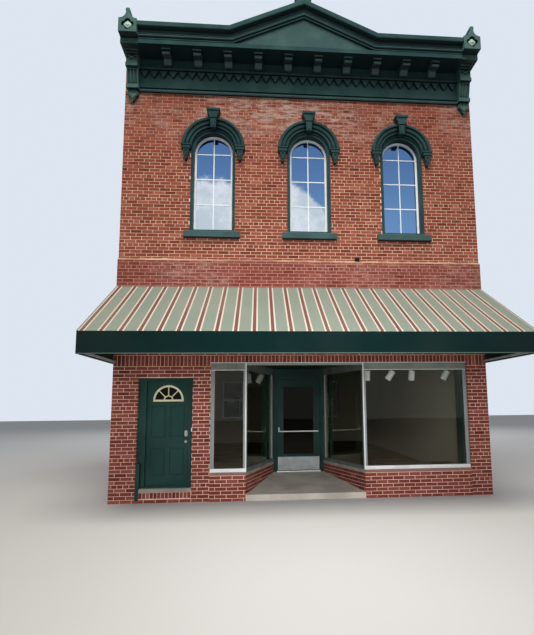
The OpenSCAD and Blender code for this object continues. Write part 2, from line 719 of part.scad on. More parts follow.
// Drop console: a two-step ledge round the hood's foot over a tapered pendant with a boss, a leaf and a
// round knob at its tip
drop_top = hood_level + 35;
drop_ledge = drop_top - 25;
drop_neck = drop_top - 92;
drop_tip = drop_top - hood_drop_height;
knob_radius = 29;
pendant_face = -hood_reach + 12;
module hood_drop() {
    half = hood_drop_width / 2;
    knee = drop_tip + 0.3 * (drop_neck - drop_tip);
    block([-half - 27, -hood_reach - 14, drop_ledge], [half + 27, 0, drop_top]);
    block([-half - 13, -hood_reach - 2, drop_neck], [half + 13, 0, drop_ledge + 1]);
    along_y(pendant_face, 0) polygon(concat(
        [[-half + 10, drop_neck + 1], [-half + 18, drop_neck - 60], [-knob_radius - 6, knee]],
        arc(0, drop_tip + knob_radius, knob_radius, 160, 380, 12),
        [[knob_radius + 6, knee], [half - 18, drop_neck - 60], [half - 10, drop_neck + 1]]));
    along_y(pendant_face - 12, pendant_face + 1)
        polygon([[-30, drop_neck - 92], [0, drop_neck - 70], [30, drop_neck - 92], [20, knee + 10],
            [0, knee - 14], [-20, knee + 10]]);
    translate([0, pendant_face + 1, drop_neck - 38]) rotate([90, 0, 0]) cylinder(h = 18, r1 = 22, r2 = 12);
}
module window_hoods() on_site() color(paint_green) for (x = window_centres) hood(x);

// Architrave, frieze with its sawtooth board, and the bed moulding up to the soffit
frieze_half = end_block_x - console_width / 2;
frieze_face = -55;
bed_bottom = cornice_soffit - bed_height;
frieze_profile = concat([[0, cornice_bottom], [-60, cornice_bottom], [-62, cornice_bottom + 22]],
    arc(-95, cornice_bottom + 85, 62, -58, 0, 6),
    [[frieze_face, cornice_bottom + 92], [frieze_face, bed_bottom], [-85, bed_bottom + 6]],
    arc(-85, bed_bottom + 34, 28, 270, 90, 8),
    [[frieze_face - 12, bed_bottom + 62], [frieze_face - 12, cornice_soffit], [0, cornice_soffit]]);
tooth_pitch = (2 * frieze_half - 20) / tooth_count;
tooth_height = 150;
tooth_top = bed_bottom - 14;
tooth_half = tooth_pitch / 2 - 10;
tooth_reach = 38;
module cornice_frieze() on_site() color(paint_green) {
    along_x(-frieze_half, frieze_half) polygon(frieze_profile);
    for (i = [0:tooth_count - 1]) translate([-frieze_half + 10 + (i + 0.5) * tooth_pitch, 0, 0])
        along_y(frieze_face - tooth_reach, frieze_face + 1)
            polygon([[-tooth_half, tooth_top], [0, tooth_top - tooth_height], [tooth_half, tooth_top]]);
}

// Modillions: a cap board against the soffit over an S-curved bracket
modillion_back = frieze_face - 12;
modillion_foot = bed_bottom + 66;
modillion_reach = 400;
scroll_radius = 44;
waist_radius = 112;
foot_radius = 62;
scroll_y = modillion_back - modillion_reach + 70;
waist_y = scroll_y + 100;
foot_y = modillion_back - 60;
modillion_profile = concat([[modillion_back, modillion_foot + 6], [foot_y, modillion_foot]],
    arc(foot_y, modillion_foot + foot_radius, foot_radius, 270, 215, 6),
    arc(waist_y, modillion_foot + 196, waist_radius, 300, 250, 6),
    arc(scroll_y, cornice_soffit - 30 - scroll_radius, scroll_radius, 250, 90, 8),
    [[modillion_back, cornice_soffit - 30]]);
module cornice_modillions() on_site() color(paint_green) for (i = [0:modillion_count - 1])
    translate([(i - (modillion_count - 1) / 2) * modillion_pitch, 0, 0]) {
        block([-modillion_width / 2 - 12, modillion_back - modillion_reach, cornice_soffit - 32],
            [modillion_width / 2 + 12, modillion_back, cornice_soffit]);
        along_x(-modillion_width / 2, modillion_width / 2) polygon(modillion_profile);
    }

// Soffit board and fascia, straight under the pediment, then the crown moulding that rises over it.
// The level and the raking crown are cut to one mitre plane, and each stops a hair short of it as
// butted sheet-metal lengths do
fascia_profile = [[0, cornice_soffit], [-fascia_reach + 45, cornice_soffit],
    [-fascia_reach + 45, cornice_soffit - 16], [-fascia_reach, cornice_soffit - 16],
    [-fascia_reach, crown_bottom], [0, crown_bottom]];
crown_profile = concat(
    [[wall_thickness, crown_bottom], [-fascia_reach + 6, crown_bottom], [-fascia_reach - 8, crown_bottom + 6],
        [-fascia_reach - 8, crown_bottom + 30], [-fascia_reach + 8, crown_bottom + 38]],
    arc(-fascia_reach - 10, crown_bottom + 66, 27, 300, 90, 8),
    [[-fascia_reach + 2, crown_bottom + 104]],
    arc(-fascia_reach - 62, crown_bottom + 150, 62, -40, 40, 6),
    arc(-crown_reach + 30, crown_bottom + 236, 30, 270, 180, 5),
    [[-crown_reach, crown_top - 10], [-crown_reach + 12, crown_top], [wall_thickness, crown_top]]);
mitre = [-sin(rake_angle / 2), cos(rake_angle / 2)] * (crown_height + 260);
valley = [-pediment_half, crown_top];
mitre_gap = [seat_gap / 2, 0];
module level_zone() polygon([[-half_width, crown_bottom - 80], valley - mitre - mitre_gap,
    valley + mitre - mitre_gap, [-half_width, crown_top + 200]]);
module rake_zone() polygon([valley + mitre + mitre_gap, valley - mitre + mitre_gap,
    [0, crown_bottom - 200], [0, pediment_apex + 400]]);
module crown_half_run() {
    intersection() {
        along_x(-crown_half, 0) polygon(crown_profile);
        along_y(-crown_reach - 50, wall_thickness + 50) level_zone();
    }
    intersection() {
        translate([-pediment_half, 0, crown_top]) rotate([0, -rake_angle, 0]) translate([0, 0, -crown_top])
            along_x(-400, pediment_half / cos(rake_angle) + 400) polygon(crown_profile);
        along_y(-crown_reach - 50, wall_thickness + 50) rake_zone();
    }
}
module cornice_crown() on_site() color(paint_green) {
    along_x(-crown_half, crown_half) polygon(fascia_profile);
    crown_half_run();
    mirror([1, 0, 0]) crown_half_run();
}

// Flat panel and core of the pediment, under the raking crown
module pediment_panel() on_site() color(paint_green) {
    panel_half = pediment_half - crown_height * tan(rake_angle / 2) - 1;
    along_y(-fascia_reach + 40, wall_thickness)
        polygon([[-panel_half, crown_bottom], [panel_half, crown_bottom],
            [0, crown_bottom + panel_half * tan(rake_angle)]]);
}

// End console: leaf-shaped drop, ledge, fluted shaft that leans out as it rises, and a straight head with a
// sunk panel, crossed bars and a stepped cap
shaft_face = -160;
shaft_top_face = -250;
console_face = -300;
console_half = console_width / 2;
console_foot = cornice_bottom;
console_ledge = console_foot + 78;
console_ledge_back = -72;
head_bottom = cornice_soffit - 322;
flute_radius = 24;
flute_foot = console_ledge + 26;
flute_length = head_bottom - console_ledge - 40;
shaft_lean = atan((shaft_face - shaft_top_face) / (head_bottom - console_ledge));
console_profile = [[0, console_foot], [shaft_face, console_foot], [shaft_face, console_ledge],
    [shaft_top_face, head_bottom], [console_face, head_bottom], [console_face, cornice_soffit],
    [0, cornice_soffit]];
cross_level = cornice_soffit - 124;
cross_height = 112;
cross_angle = 31;
shield_outline = concat(
    [[-console_half * 0.8, console_foot + 1], [-console_half * 0.8, console_foot - 20]],
    arc(-10, console_foot - 62, 98, 180, 235, 6),
    [[0, console_foot - 250]],
    arc(10, console_foot - 62, 98, 305, 360, 6),
    [[console_half * 0.8, console_foot - 20], [console_half * 0.8, console_foot + 1]]);
shield_face = -112;
leaf_root = console_foot - 175;
leaf_relief = 13;
module console_band(reach, side, z0, z1)
    block([-console_half - side, console_face - reach, z0], [console_half + side, shaft_top_face + 30, z1]);
module end_console() {
    difference() {
        along_x(-console_half, console_half) polygon(console_profile);
        for (i = [-1:1]) translate([i * console_half * 0.58, shaft_face - 9, flute_foot])
            rotate([shaft_lean, 0, 0]) cylinder(h = flute_length, r = flute_radius);
        along_y(console_face - 1, console_face + 16) difference() {
            translate([-console_half + 18, cross_level - cross_height / 2])
                square([console_width - 36, cross_height]);
            for (a = [-1, 1]) translate([0, cross_level]) rotate(a * cross_angle)
                square([2 * console_width, 24], center = true);
        }
    }
    console_band(90, 14, cornice_soffit - 28, cornice_soffit);
    console_band(50, 8, cornice_soffit - 58, cornice_soffit - 27);
    console_band(20, 8, head_bottom + 6, head_bottom + 76);
    block([-console_half - 12, shaft_face - 26, console_foot],
        [console_half + 12, console_ledge_back, console_ledge]);
    along_y(shield_face, 0) polygon(shield_outline);
    along_y(shield_face - leaf_relief, shield_face + 1) translate([0, leaf_root]) for (a = [-38, 0, 38])
        rotate(a) polygon([[0, -30], [18, 20], [24, 74], [0, 138], [-24, 74], [-18, 20]]);
}
module end_consoles() on_site() color(paint_green)
    for (s = [-1, 1]) translate([s * end_block_x, 0, 0]) end_console();

// End block: a plain support over the soffit, then the ogee-topped block that overhangs it, with a sunk
// quatrefoil and its rosette
block_foot = crown_bottom + 50;
block_face = -crown_reach - 25;
block_half = end_block_width / 2;
support_face = -fascia_reach + 44;
quatrefoil_level = block_foot + 160;
lobe_radius = 60;
lobe_offset = 60;
lobe_depth = 52;
end_block_height = 505;
block_tip = block_foot + end_block_height;
shoulder_radius = 142;
shoulder_level = block_tip - 78;
block_outline = concat([[-block_half, block_foot], [block_half, block_foot]],
    arc(block_half, shoulder_level, shoulder_radius, 270, 207, 6),
    [[30, block_tip - 84], [45, block_tip - 50], [38, block_tip - 12], [20, block_tip],
        [-20, block_tip], [-38, block_tip - 12], [-45, block_tip - 50], [-30, block_tip - 84]],
    arc(-block_half, shoulder_level, shoulder_radius, 333, 270, 6));
module end_block() {
    block([-block_half, support_face, crown_bottom], [block_half, wall_thickness, crown_top]);
    block([-block_half, support_face, cornice_soffit], [block_half, 0, crown_bottom + 1]);
    difference() {
        along_y(block_face, block_face + end_block_width) polygon(block_outline);
        translate([0, block_face + lobe_depth, quatrefoil_level]) rotate([90, 0, 0]) for (a = [0:90:270])
            rotate(a) translate([0, lobe_offset, 0]) cylinder(h = lobe_depth + 5, r = lobe_radius);
    }
    translate([0, block_face + lobe_depth + 1, quatrefoil_level]) rotate([90, 0, 0]) {
        for (a = [0:90:270]) rotate(a) translate([0, lobe_offset * 0.8, 0]) cylinder(h = 16, r = 36);
        cylinder(h = 34, r1 = 46, r2 = 24);
    }
}
module end_blocks() on_site() color(paint_green)
    for (s = [-1, 1]) translate([s * end_block_x, 0, 0]) end_block();

// Square finial on the ridge of the pediment
finial_half = 155;
finial_front = -fascia_reach + 60;
finial_back = finial_front + 2 * finial_half;
finial_cap = 42;
finial_height = 270;
finial_top = pediment_apex + finial_height;
module centre_finial() on_site() color(paint_green) {
    drop = 2 * finial_half * tan(rake_angle);
    seat = pediment_apex + seat_gap;
    difference() {
        union() {
            block([-finial_half, finial_front, pediment_apex - drop / 2 - 10],
                [finial_half, finial_back, finial_top - finial_cap + 2]);
            block([-finial_half - 20, finial_front - 20, finial_top - finial_cap],
                [finial_half + 20, finial_back + 20, finial_top]);
        }
        along_y(-crown_reach, wall_thickness)
            polygon([[-2 * finial_half, seat - drop], [0, seat], [2 * finial_half, seat - drop],
                [2 * finial_half, seat - drop - 400], [-2 * finial_half, seat - drop - 400]]);
    }
}

// Square-tube frame of the awning: rafters, wall and front bars, and the lower bars
frame_clearance = canvas_thickness + seat_gap;
awning_half = half_width - frame_clearance;
front_tube_y = awning_front + frame_clearance;
wall_bar_level = awning_back_level - 110;
front_bar_level = awning_front_level - 75;
arm_level = valance_hem + 30;
rafter_low_end = -awning_slope + 24;
rafter_high_end = (frame_clearance + awning_tube) * tan(awning_pitch) + seat_gap;
rafter_spacing = (2 * awning_half - awning_tube) / (rafter_count - 1);
function rafter_x(i) = -awning_half + i * rafter_spacing;
module tube_along_x(y, z) block([-awning_half, y, z], [awning_half, y + awning_tube, z + awning_tube]);
module awning_frame() on_site() color("#3c4240") {
    for (i = [0:rafter_count - 1]) translate([rafter_x(i), store_face, awning_back_level])
        rotate([awning_pitch, 0, 0]) translate([0, rafter_low_end, -frame_clearance - awning_tube])
            cube([awning_tube, -rafter_high_end - rafter_low_end, awning_tube]);
    tube_along_x(store_face - awning_tube, wall_bar_level);
    tube_along_x(front_tube_y, front_bar_level);
    tube_along_x(front_tube_y, arm_level);
    for (i = [0, rafter_count - 1]) {
        block([rafter_x(i), front_tube_y, arm_level],
            [rafter_x(i) + awning_tube, store_face, arm_level + awning_tube]);
        block([rafter_x(i), front_tube_y, arm_level],
            [rafter_x(i) + awning_tube, front_tube_y + awning_tube, front_bar_level + 15]);
    }
}

// Canvas from the wall to the front, the valance below its front edge, and the side wings
module awning_canvas() on_site() color("#93a58f") along_x(-half_width, half_width)
    polygon([[store_face, awning_back_level], [awning_front, awning_front_level],
        [awning_front, awning_front_level - canvas_drop], [store_face, awning_back_level - canvas_drop]]);
module awning_valance() on_site() color("#14382f")
    block([-half_width, awning_front, valance_hem],
        [half_width, awning_front + canvas_thickness, awning_front_level - canvas_drop]);
wing_front = awning_front + canvas_thickness;
wing_front_top = awning_front_level - canvas_drop + canvas_thickness * tan(awning_pitch) - seat_gap;
module awning_wing(x0) along_x(x0, x0 + canvas_thickness)
    polygon([[store_face, valance_hem], [wing_front, valance_hem], [wing_front, wing_front_top],
        [store_face, awning_back_level - canvas_drop - seat_gap]]);
module awning_wings() on_site() color("#14382f")
    for (x = [-half_width, half_width - canvas_thickness]) awning_wing(x);

// Plain frames, panes and door of the back wall
rear_frame_y = building_depth - 150;
rear_frame_depth = 80;
rear_half = rear_opening_width / 2;
rear_pane_half = rear_half - rear_bar;
module rear_frame(x, z0, z1) difference() {
    block([x - rear_half, rear_frame_y, z0], [x + rear_half, rear_frame_y + rear_frame_depth, z1]);
    block([x - rear_pane_half, rear_frame_y - 1, z0 + rear_bar],
        [x + rear_pane_half, rear_frame_y + rear_frame_depth + 1, z1 - rear_bar]);
}
module rear_pane(x, z0, z1)
    block([x - rear_pane_half, rear_frame_y + 36, z0 + rear_bar],
        [x + rear_pane_half, rear_frame_y + 44, z1 - rear_bar]);
module rear_windows() on_site() color("#dcdcd6") {
    for (i = [-1:1]) rear_frame(i * window_pitch, rear_upper_sill, rear_upper_head);
    for (i = [-1, 1]) rear_frame(i * window_pitch, rear_lower_sill, rear_lower_head);
}
module rear_window_glass() on_site() color(pane) {
    for (i = [-1:1]) rear_pane(i * window_pitch, rear_upper_sill, rear_upper_head);
    for (i = [-1, 1]) rear_pane(i * window_pitch, rear_lower_sill, rear_lower_head);
}
module rear_door() on_site() color(door_green)
    block([-rear_door_width / 2, rear_frame_y, ground_floor_level],
        [rear_door_width / 2, rear_frame_y + 60, rear_door_head]);

left_party_wall();
right_party_wall();
rear_wall();
upper_front_wall();
storefront_header();
left_pier();
middle_pier();
right_pier();
side_door_head_wall();
side_door_step();
left_bulkhead();
right_bulkhead();
bulkhead_sills();
entry_ramp();
ground_floor();
upper_floor();
roof();
parapet_coping();
side_door_frame();
side_door_leaf();
side_door_fanlight();
side_door_lock();
entry_door_frame();
entry_door_leaf();
entry_door_glass();
entry_push_bar();
entry_kick_plate();
left_shop_window();
right_shop_window();
shop_window_glass();
shopfront_ceiling();
display_decks();
display_lamps();
window_sills();
window_casings();
window_frames();
upper_window_glass();
window_hoods();
cornice_frieze();
cornice_modillions();
cornice_crown();
pediment_panel();
end_consoles();
end_blocks();
centre_finial();
awning_frame();
awning_canvas();
awning_valance();
awning_wings();
rear_windows();
rear_window_glass();
rear_door();
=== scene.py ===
# %% [markdown]
# A two-storey brick shop building from the middle of a row, dressed in Blender.
#
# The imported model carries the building: walls, floors, doors, frames, cornice and awning. This lesson adds
# what a camera in the street sees on them: the bricks one by one, glazing bars, metal trim, the awning's
# canvas, and a finish for every surface. Lengths are in millimetres with Y = 0 on the upper wall's face, as a
# surveyor would draw the front. One function turns them to metres.

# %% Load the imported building
import math

import bpy
import numpy as np
from mathutils import Matrix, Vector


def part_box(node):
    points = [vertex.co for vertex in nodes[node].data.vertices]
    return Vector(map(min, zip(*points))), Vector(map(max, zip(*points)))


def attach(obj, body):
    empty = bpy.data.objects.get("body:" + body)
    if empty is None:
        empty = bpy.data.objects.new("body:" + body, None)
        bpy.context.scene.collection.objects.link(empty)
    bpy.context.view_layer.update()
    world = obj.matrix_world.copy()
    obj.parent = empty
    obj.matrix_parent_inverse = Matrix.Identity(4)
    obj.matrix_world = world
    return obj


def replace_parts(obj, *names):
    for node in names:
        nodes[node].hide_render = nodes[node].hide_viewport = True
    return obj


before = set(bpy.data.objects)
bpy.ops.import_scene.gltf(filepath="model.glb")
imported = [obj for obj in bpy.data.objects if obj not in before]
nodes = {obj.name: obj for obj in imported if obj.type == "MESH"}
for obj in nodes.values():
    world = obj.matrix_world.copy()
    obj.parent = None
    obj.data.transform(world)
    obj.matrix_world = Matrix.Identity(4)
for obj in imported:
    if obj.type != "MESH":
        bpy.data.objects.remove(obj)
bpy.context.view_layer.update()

# %% [markdown]
# The front is drawn round the upper wall's face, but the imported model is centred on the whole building. The
# wall over the shop gives the shift: its inner side is one wall thickness behind the upper wall's face.

# %% Sizes of the front, in millimetres
HALF_WIDTH, BRICKS_HALF, WALL = 3650, 3648, 330
SITE_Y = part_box("storefront_header")[1].y * 1000 - WALL
STORE_FACE, BACK_FACE = -67, 12000
BAND_TOP, SHOP_HEAD, BULKHEAD_TOP = 4630, 2590, 470
SHOP_LEFT, SHOP_RIGHT = -1819, 3244
RECESS_OUTER, RECESS_INNER, DOOR_PLANE = 1145, 575, 1863
WINDOW_CENTRES, WINDOW_HALF, WINDOW_SILL, WINDOW_SPRING = (-1843, 120, 2083), 450, 5210, 6950
SIDE_DOOR_LEFT, SIDE_DOOR_RIGHT, SIDE_DOOR_HEAD, SIDE_DOOR_STEP = -3174, -2151, 2300, 240


def in_row(points):
    """Points of the front's drawing, in millimetres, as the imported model's metres: Y is shifted by SITE_Y."""
    return (np.asarray(points, float) + (0, SITE_Y, 0)) / 1000


def linked(name, data):
    """A new object with this data, in the scene."""
    made = bpy.data.objects.new(name, data)
    bpy.context.scene.collection.objects.link(made)
    return made


def placed(made, place, directions):
    """Puts an object at place, in the drawing, with its own X, Y and Z along three unit vectors."""
    turn = Matrix(np.column_stack(directions).tolist()).to_4x4()
    made.matrix_world = Matrix.Translation(in_row(place).tolist()) @ turn
    return made


print("site shift", round(SITE_Y, 1), "mm")

# %% [markdown]
# The camera stands in the street a little left of the middle, at eye height, and looks slightly up and to the
# right. Its place, turn and focal length were worked out from corners of the front, so the frame is the
# photograph's. The picture's long side is its height.

# %% Camera at the photograph's angle
CAMERA_PLACE = (-898, -10417, 1764)
YAW_PITCH_ROLL = np.radians((5.137, 8.249, -0.583))
FOCAL_PIXELS, PICTURE, PRINCIPAL, SENSOR_MM = 531.85, (534, 635), (306.43, 327.79), 36

sin_yaw, sin_pitch, sin_roll = np.sin(YAW_PITCH_ROLL)
cos_yaw, cos_pitch, cos_roll = np.cos(YAW_PITCH_ROLL)
forward = np.array((sin_yaw * cos_pitch, cos_yaw * cos_pitch, sin_pitch))
level = np.array((cos_yaw, -sin_yaw, 0))
upright = np.cross(level, forward)
right, top = cos_roll * level + sin_roll * upright, cos_roll * upright - sin_roll * level

lens = bpy.data.cameras.new("street_camera")
lens.sensor_width, lens.lens, lens.clip_end = SENSOR_MM, FOCAL_PIXELS / PICTURE[1] * SENSOR_MM, 200
lens.shift_x = (PICTURE[0] / 2 - PRINCIPAL[0]) / PICTURE[1]
lens.shift_y = (PRINCIPAL[1] - PICTURE[1] / 2) / PICTURE[1]
camera = placed(linked("street_camera", lens), CAMERA_PLACE, (right, top, -forward))
bpy.context.scene.camera = camera
print("camera", [round(v, 3) for v in camera.location], "lens", round(lens.lens, 2))

# %% [markdown]
# Colours are written in sRGB hex, as they look on a screen. Blender's nodes work with linear light, so one
# function turns them over. Another adds a node with its settings and links, and finds the node tree by the
# outputs that it is given. A table names the few steps that every material below is made of.

# %% Colour and node helpers
def linear(code):
    """sRGB hex to linear RGBA: v / 12.92 up to v = 0.04045, and ((v + 0.055) / 1.055) ^ 2.4 above it."""
    values = np.array([int(code[i:i + 2], 16) for i in (1, 3, 5)]) / 255
    light = np.where(values <= 0.04045, values / 12.92, ((values + 0.055) / 1.055) ** 2.4)
    return (*light.tolist(), 1.0)


def feed(node, inputs):
    """Sets a node's inputs: pairs of a socket's name or number, and a value, a hex code or an output."""
    for name, value in inputs:
        if isinstance(value, bpy.types.NodeSocket):
            node.id_data.links.new(value, node.inputs[name])
        else:
            node.inputs[name].default_value = linear(value) if isinstance(value, str) else value


def add(near, kind, inputs=(), **settings):
    """Adds one shader node to a node tree, or to the tree of an output near it."""
    made = near.id_data.nodes.new("ShaderNode" + kind)
    for name, value in settings.items():
        setattr(made, name, value)
    feed(made, inputs)
    return made


# The steps used most: the node, the sockets that take the values in turn, the output, and the settings.
# "smooth" goes from 0 to 1, or between its last two numbers, as the value passes between its first two.
# "range" goes from one number to the other as the value goes from 0 to 1. "noise" takes a place, a scale, a
# detail and a roughness. Its blotches are about BLOTCH millimetres across at scale 1
STEPS = {
    "mix": ("Mix", (0, 6, 7), 2, {"data_type": "RGBA"}),
    "noise": ("TexNoise", ("Vector", "Scale", "Detail", "Roughness"), 0, {}),
    "smooth": ("MapRange", ("Value", "From Min", "From Max", "To Min", "To Max"), 0,
               {"interpolation_type": "SMOOTHSTEP"}),
    "range": ("MapRange", ("Value", "To Min", "To Max"), 0, {}),
    "axes": ("SeparateXYZ", (0,), slice(3), {}),
}
BLOTCH = 500


def result(step, *values):
    """The result of one node on these values: a row of STEPS, or else an operation of the Math node. At least
    one of the values is an output."""
    kind, sockets, output, settings = STEPS.get(step, ("Math", range(3), 0, {"operation": step}))
    near = next(v for v in values if isinstance(v, bpy.types.NodeSocket))
    return add(near, kind, zip(sockets, values), **settings).outputs[output]


def started(name):
    """A new material, its principled shader and its object coordinates."""
    material = bpy.data.materials.new(name)
    material.use_nodes = True
    tree = material.node_tree
    return material, tree.nodes["Principled BSDF"], add(tree, "TexCoord").outputs["Object"]


def surfaced(shader, colour, roughness, specular, height, depth_mm, strength=1.0, **others):
    """Gives a shader its colour, finish and bump. height runs from 0 to 1 and stands for depth_mm. others are
    more inputs, with _ for a space."""
    bump = add(height, "Bump", (("Height", height), ("Distance", depth_mm / 1000), ("Strength", strength)))
    feed(shader, (("Base Color", colour), ("Roughness", roughness), ("Specular IOR Level", specular),
                  ("Normal", bump.outputs[0]), *((key.replace("_", " "), v) for key, v in others.items())))


print("red brick, linear:", [round(v, 3) for v in linear("#8b4335")])

# %% [markdown]
# Most of the building is a plain stuff with blotches and a fine grain: paint on metal, cement, felt, plaster.
# They share one recipe: a colour that drifts between two tones over the size of a hand, a third tone where
# dirt gathers, and a grain in the bump. Many also take painted shade on faces that look down and in corners,
# and a painted highlight on faces that look up. Each finish below gives its own sizes.

# %% A recipe for plain weathered stuff
def weathered(name, tones, patch_mm, grain_mm, roughness, relief_mm, dirt_share=0.35, metallic=0.0,
              specular=0.25, shade_below=None, highlight_above=None, streetward=None, corner_shade=None, boards=None):
    """Colour = the first two tones mixed by blotches of patch_mm, then the third, dirt, where a second noise
    is high. Bump from grain_mm. shade_below, highlight_above and streetward are (colour, share), for faces
    that look down, up and at the street: painted shade under things, a painted highlight on tops, and a tone
    for street faces. corner_shade is (colour, share, reach in mm): painted shade in corners, more of it as less
    of the view within reach is open. boards is (axis, width in mm, seam in mm): a dark seam at each board."""
    material, shader, place = started(name)
    light, dark, dirt = tones.split()
    blotches = result("smooth", result("noise", place, BLOTCH / patch_mm, 3, 0.55), 0.35, 0.65)
    soil = result("smooth", result("noise", place, BLOTCH / (patch_mm * 2.7), 6, 0.7), 0.45, 0.75)
    colour = result("mix", result("MULTIPLY", soil, dirt_share), result("mix", blotches, light, dark), dirt)
    # Painted shade on faces that look down, a painted highlight on faces that look up, and a tone on street
    # faces
    for finish, axis, low, high in ((shade_below, 2, -0.15, -0.75), (highlight_above, 2, 0.2, 0.8),
                                    (streetward, 1, -0.5, -0.9)):
        if finish:
            facing = result("axes", add(place, "NewGeometry").outputs["Normal"])[axis]
            share = result("MULTIPLY", result("smooth", facing, low, high), finish[1])
            colour = result("mix", share, colour, finish[0])
    # Painted shade in corners and hollows, darker where the Ambient Occlusion node finds the view closed
    if corner_shade:
        view = add(place, "AmbientOcclusion", (("Distance", corner_shade[2] / 1000),), samples=8, only_local=True)
        share = result("MULTIPLY", result("smooth", view.outputs["AO"], 0.92, 0.5), corner_shade[1])
        colour = result("mix", share, colour, corner_shade[0])
    grain = result("noise", place, BLOTCH / grain_mm, 4, 0.65)
    if boards:
        axis, width, seam = boards
        turns = result("MULTIPLY", result("axes", place)[axis], 1000 / width)
        plank = result("GREATER_THAN", result("FRACT", turns), seam / width)
        colour = result("mix", plank, dirt, colour)
        grain = result("MULTIPLY_ADD", plank, 2.0, grain)
    rough = result("range", blotches, roughness - 0.06, roughness + 0.06)
    surfaced(shader, colour, rough, specular, grain, relief_mm, Metallic=metallic)
    return material


# Oil paint on galvanised sheet metal and wood: satin, with brush marks a few millimetres wide. Painted shade
# darkens faces that look down and the corners, and a painted highlight pales faces that look up
green_paint = weathered("green_oil_paint", "#2e4a49 #263f40 #17292a", 260, 14, 0.48, 0.25, specular=0.18,
                        shade_below=("#0a1c20", 0.88), highlight_above=("#8ba8a3", 0.5), corner_shade=("#040a0c", 0.9, 110))
# The same paint copied lighter as painted light, for the sills and the pediment's panel, which stand in fuller
# light. Painted shade below and in corners, and a painted highlight on faces that look up
lit_green_paint = weathered("green_oil_paint_lit_copy", "#415b5a #38504f #263c3c", 260, 14, 0.55, 0.25,
                          specular=0.2, shade_below=("#0c1618", 0.8), highlight_above=("#89a6a3", 0.5),
                          corner_shade=("#0c1618", 0.8, 90))
# The same paint copied lighter as painted light on the scroll brackets, paler still on their street faces as
# painted light, with painted shade below and in corners
bracket_paint = weathered("green_oil_paint_on_brackets", "#4a625f #3f5654 #22383a", 120, 10, 0.5, 0.25,
                          specular=0.2, shade_below=("#0a1c20", 0.8), streetward=("#64898c", 0.4),
                          corner_shade=("#081417", 0.85, 60))
# The same paint copied lighter on the cast ornament at the cornice's ends: a painted highlight on faces that
# look up, and painted shade, black, in the hollows and below
ornament_paint = weathered("green_oil_paint_lit_and_shaded", "#4c6a64 #415d58 #2a423f", 120, 10, 0.5, 0.25, 0.3,
                       specular=0.2, shade_below=("#0c191a", 0.85), highlight_above=("#9ab5ae", 0.6),
                       corner_shade=("#050c0d", 1.0, 40))
# Mint-green paint of the rosettes, paler than the cornice, with painted shade where the petals meet their
# hollow
mint_paint = weathered("mint_green_oil_paint", "#a9c6ba #93b3a7 #4d6660", 50, 8, 0.5, 0.2, 0.3,
                       corner_shade=("#1c302c", 0.9, 25))
# Enamel, darker and fresher, on the side door and the shopfront's woodwork, with painted shade below and in
# the grooves, and a painted highlight on faces that look up
door_paint = weathered("dark_green_door_enamel", "#1f3f38 #1a3731 #132a26", 300, 9, 0.42, 0.12, 0.25,
                       specular=0.2, shade_below=("#0a1513", 0.8), highlight_above=("#5d877a", 0.6),
                       corner_shade=("#07110f", 0.75, 40))
# The same door enamel copied darker as painted shade, for the shop door deep in the recess, with painted shade
# below and in corners too
shaded_door_paint = weathered("door_enamel_shaded_copy", "#17322c #132924 #0f1f1c", 300, 9, 0.42, 0.12, 0.25,
                       specular=0.2, shade_below=("#081110", 0.8), corner_shade=("#050d0b", 0.75, 40))
# Matchboard of the shopfront's ceiling in the same green, with a groove every 80 mm
ceiling_boards = weathered("green_painted_matchboard", "#1f3f38 #1a3731 #0d1c19", 300, 9, 0.5, 0.3, 0.25,
                           specular=0.2, boards=(0, 80, 5))
# Head boards of the shop windows, painted a greenish grey, made darker as painted shade from the awning
shaded_head_paint = weathered("grey_green_paint_with_painted_shade", "#7f877c #6f776d #555c53", 200, 9, 0.6, 0.15, 0.4)
# Portland cement render, trowelled: matt, grey, with sand grains and darker damp patches
cement = weathered("trowelled_cement", "#a09c92 #8c887e #6d675d", 180, 7, 0.86, 0.8, 0.5)
# The same render as the shop windows' sill, dusted with brick on its street edge
sill_cement = weathered("brick_dusted_cement", "#a09c92 #8c887e #6d675d", 180, 7, 0.86, 0.8, 0.5,
                        streetward=("#8b5d50", 0.85))
# Lime mortar of the fillet over the brick band: sandy, cream, with brick dust in it
lime_fillet = weathered("trowelled_lime_mortar", "#cba987 #a37a62 #74463a", 240, 7, 0.9, 0.8, 0.85)
# Cast concrete of the ramp, walked smooth: brownish grey
ramp_concrete = weathered("worn_concrete", "#c0b9ab #aaa295 #7c7264", 320, 9, 0.8, 0.6, 0.5)
# Softwood boards, worn and dusty, about 95 mm wide
floor_board = weathered("worn_pine_boards", "#8f7458 #7c6248 #574433", 400, 12, 0.6, 0.5, boards=(0, 95, 3))
# Bitumen felt on the roof, with mineral grains, in strips about 0.9 m wide. Each lap holds a line of dirt
roof_felt = weathered("mineral_roofing_felt", "#77797a #656768 #4a4b4a", 500, 5, 0.93, 0.8, 0.6,
                      boards=(1, 900, 14))
# Salt-glazed clay tiles of the coping: brown, with a low gloss
coping_clay = weathered("glazed_clay_tile", "#8a5645 #6f4336 #3c2b26", 150, 10, 0.45, 0.5)
# Mill-finish aluminium of the shop windows, dulled by the weather to a soft grey, and paler on faces that look
# at the street as painted light
dull_aluminium = weathered("weathered_aluminium", "#777c78 #676c68 #525651", 150, 6, 0.5, 0.08, 0.4, 0.35,
                           streetward=("#969b97", 0.9))
# The same where hands, rain and a cloth keep it bright: sills, edges, posts, push bar
bright_aluminium = weathered("bright_aluminium", "#eeefea #dedfda #b3b2ab", 150, 6, 0.42, 0.06, 0.3, 0.15)
# Brushed aluminium of the kick plate: the most metallic, with a fine grain
brushed_aluminium = weathered("brushed_aluminium", "#b4b8b6 #a4a8a6 #858a88", 90, 4, 0.36, 0.05, 0.25, 0.85)
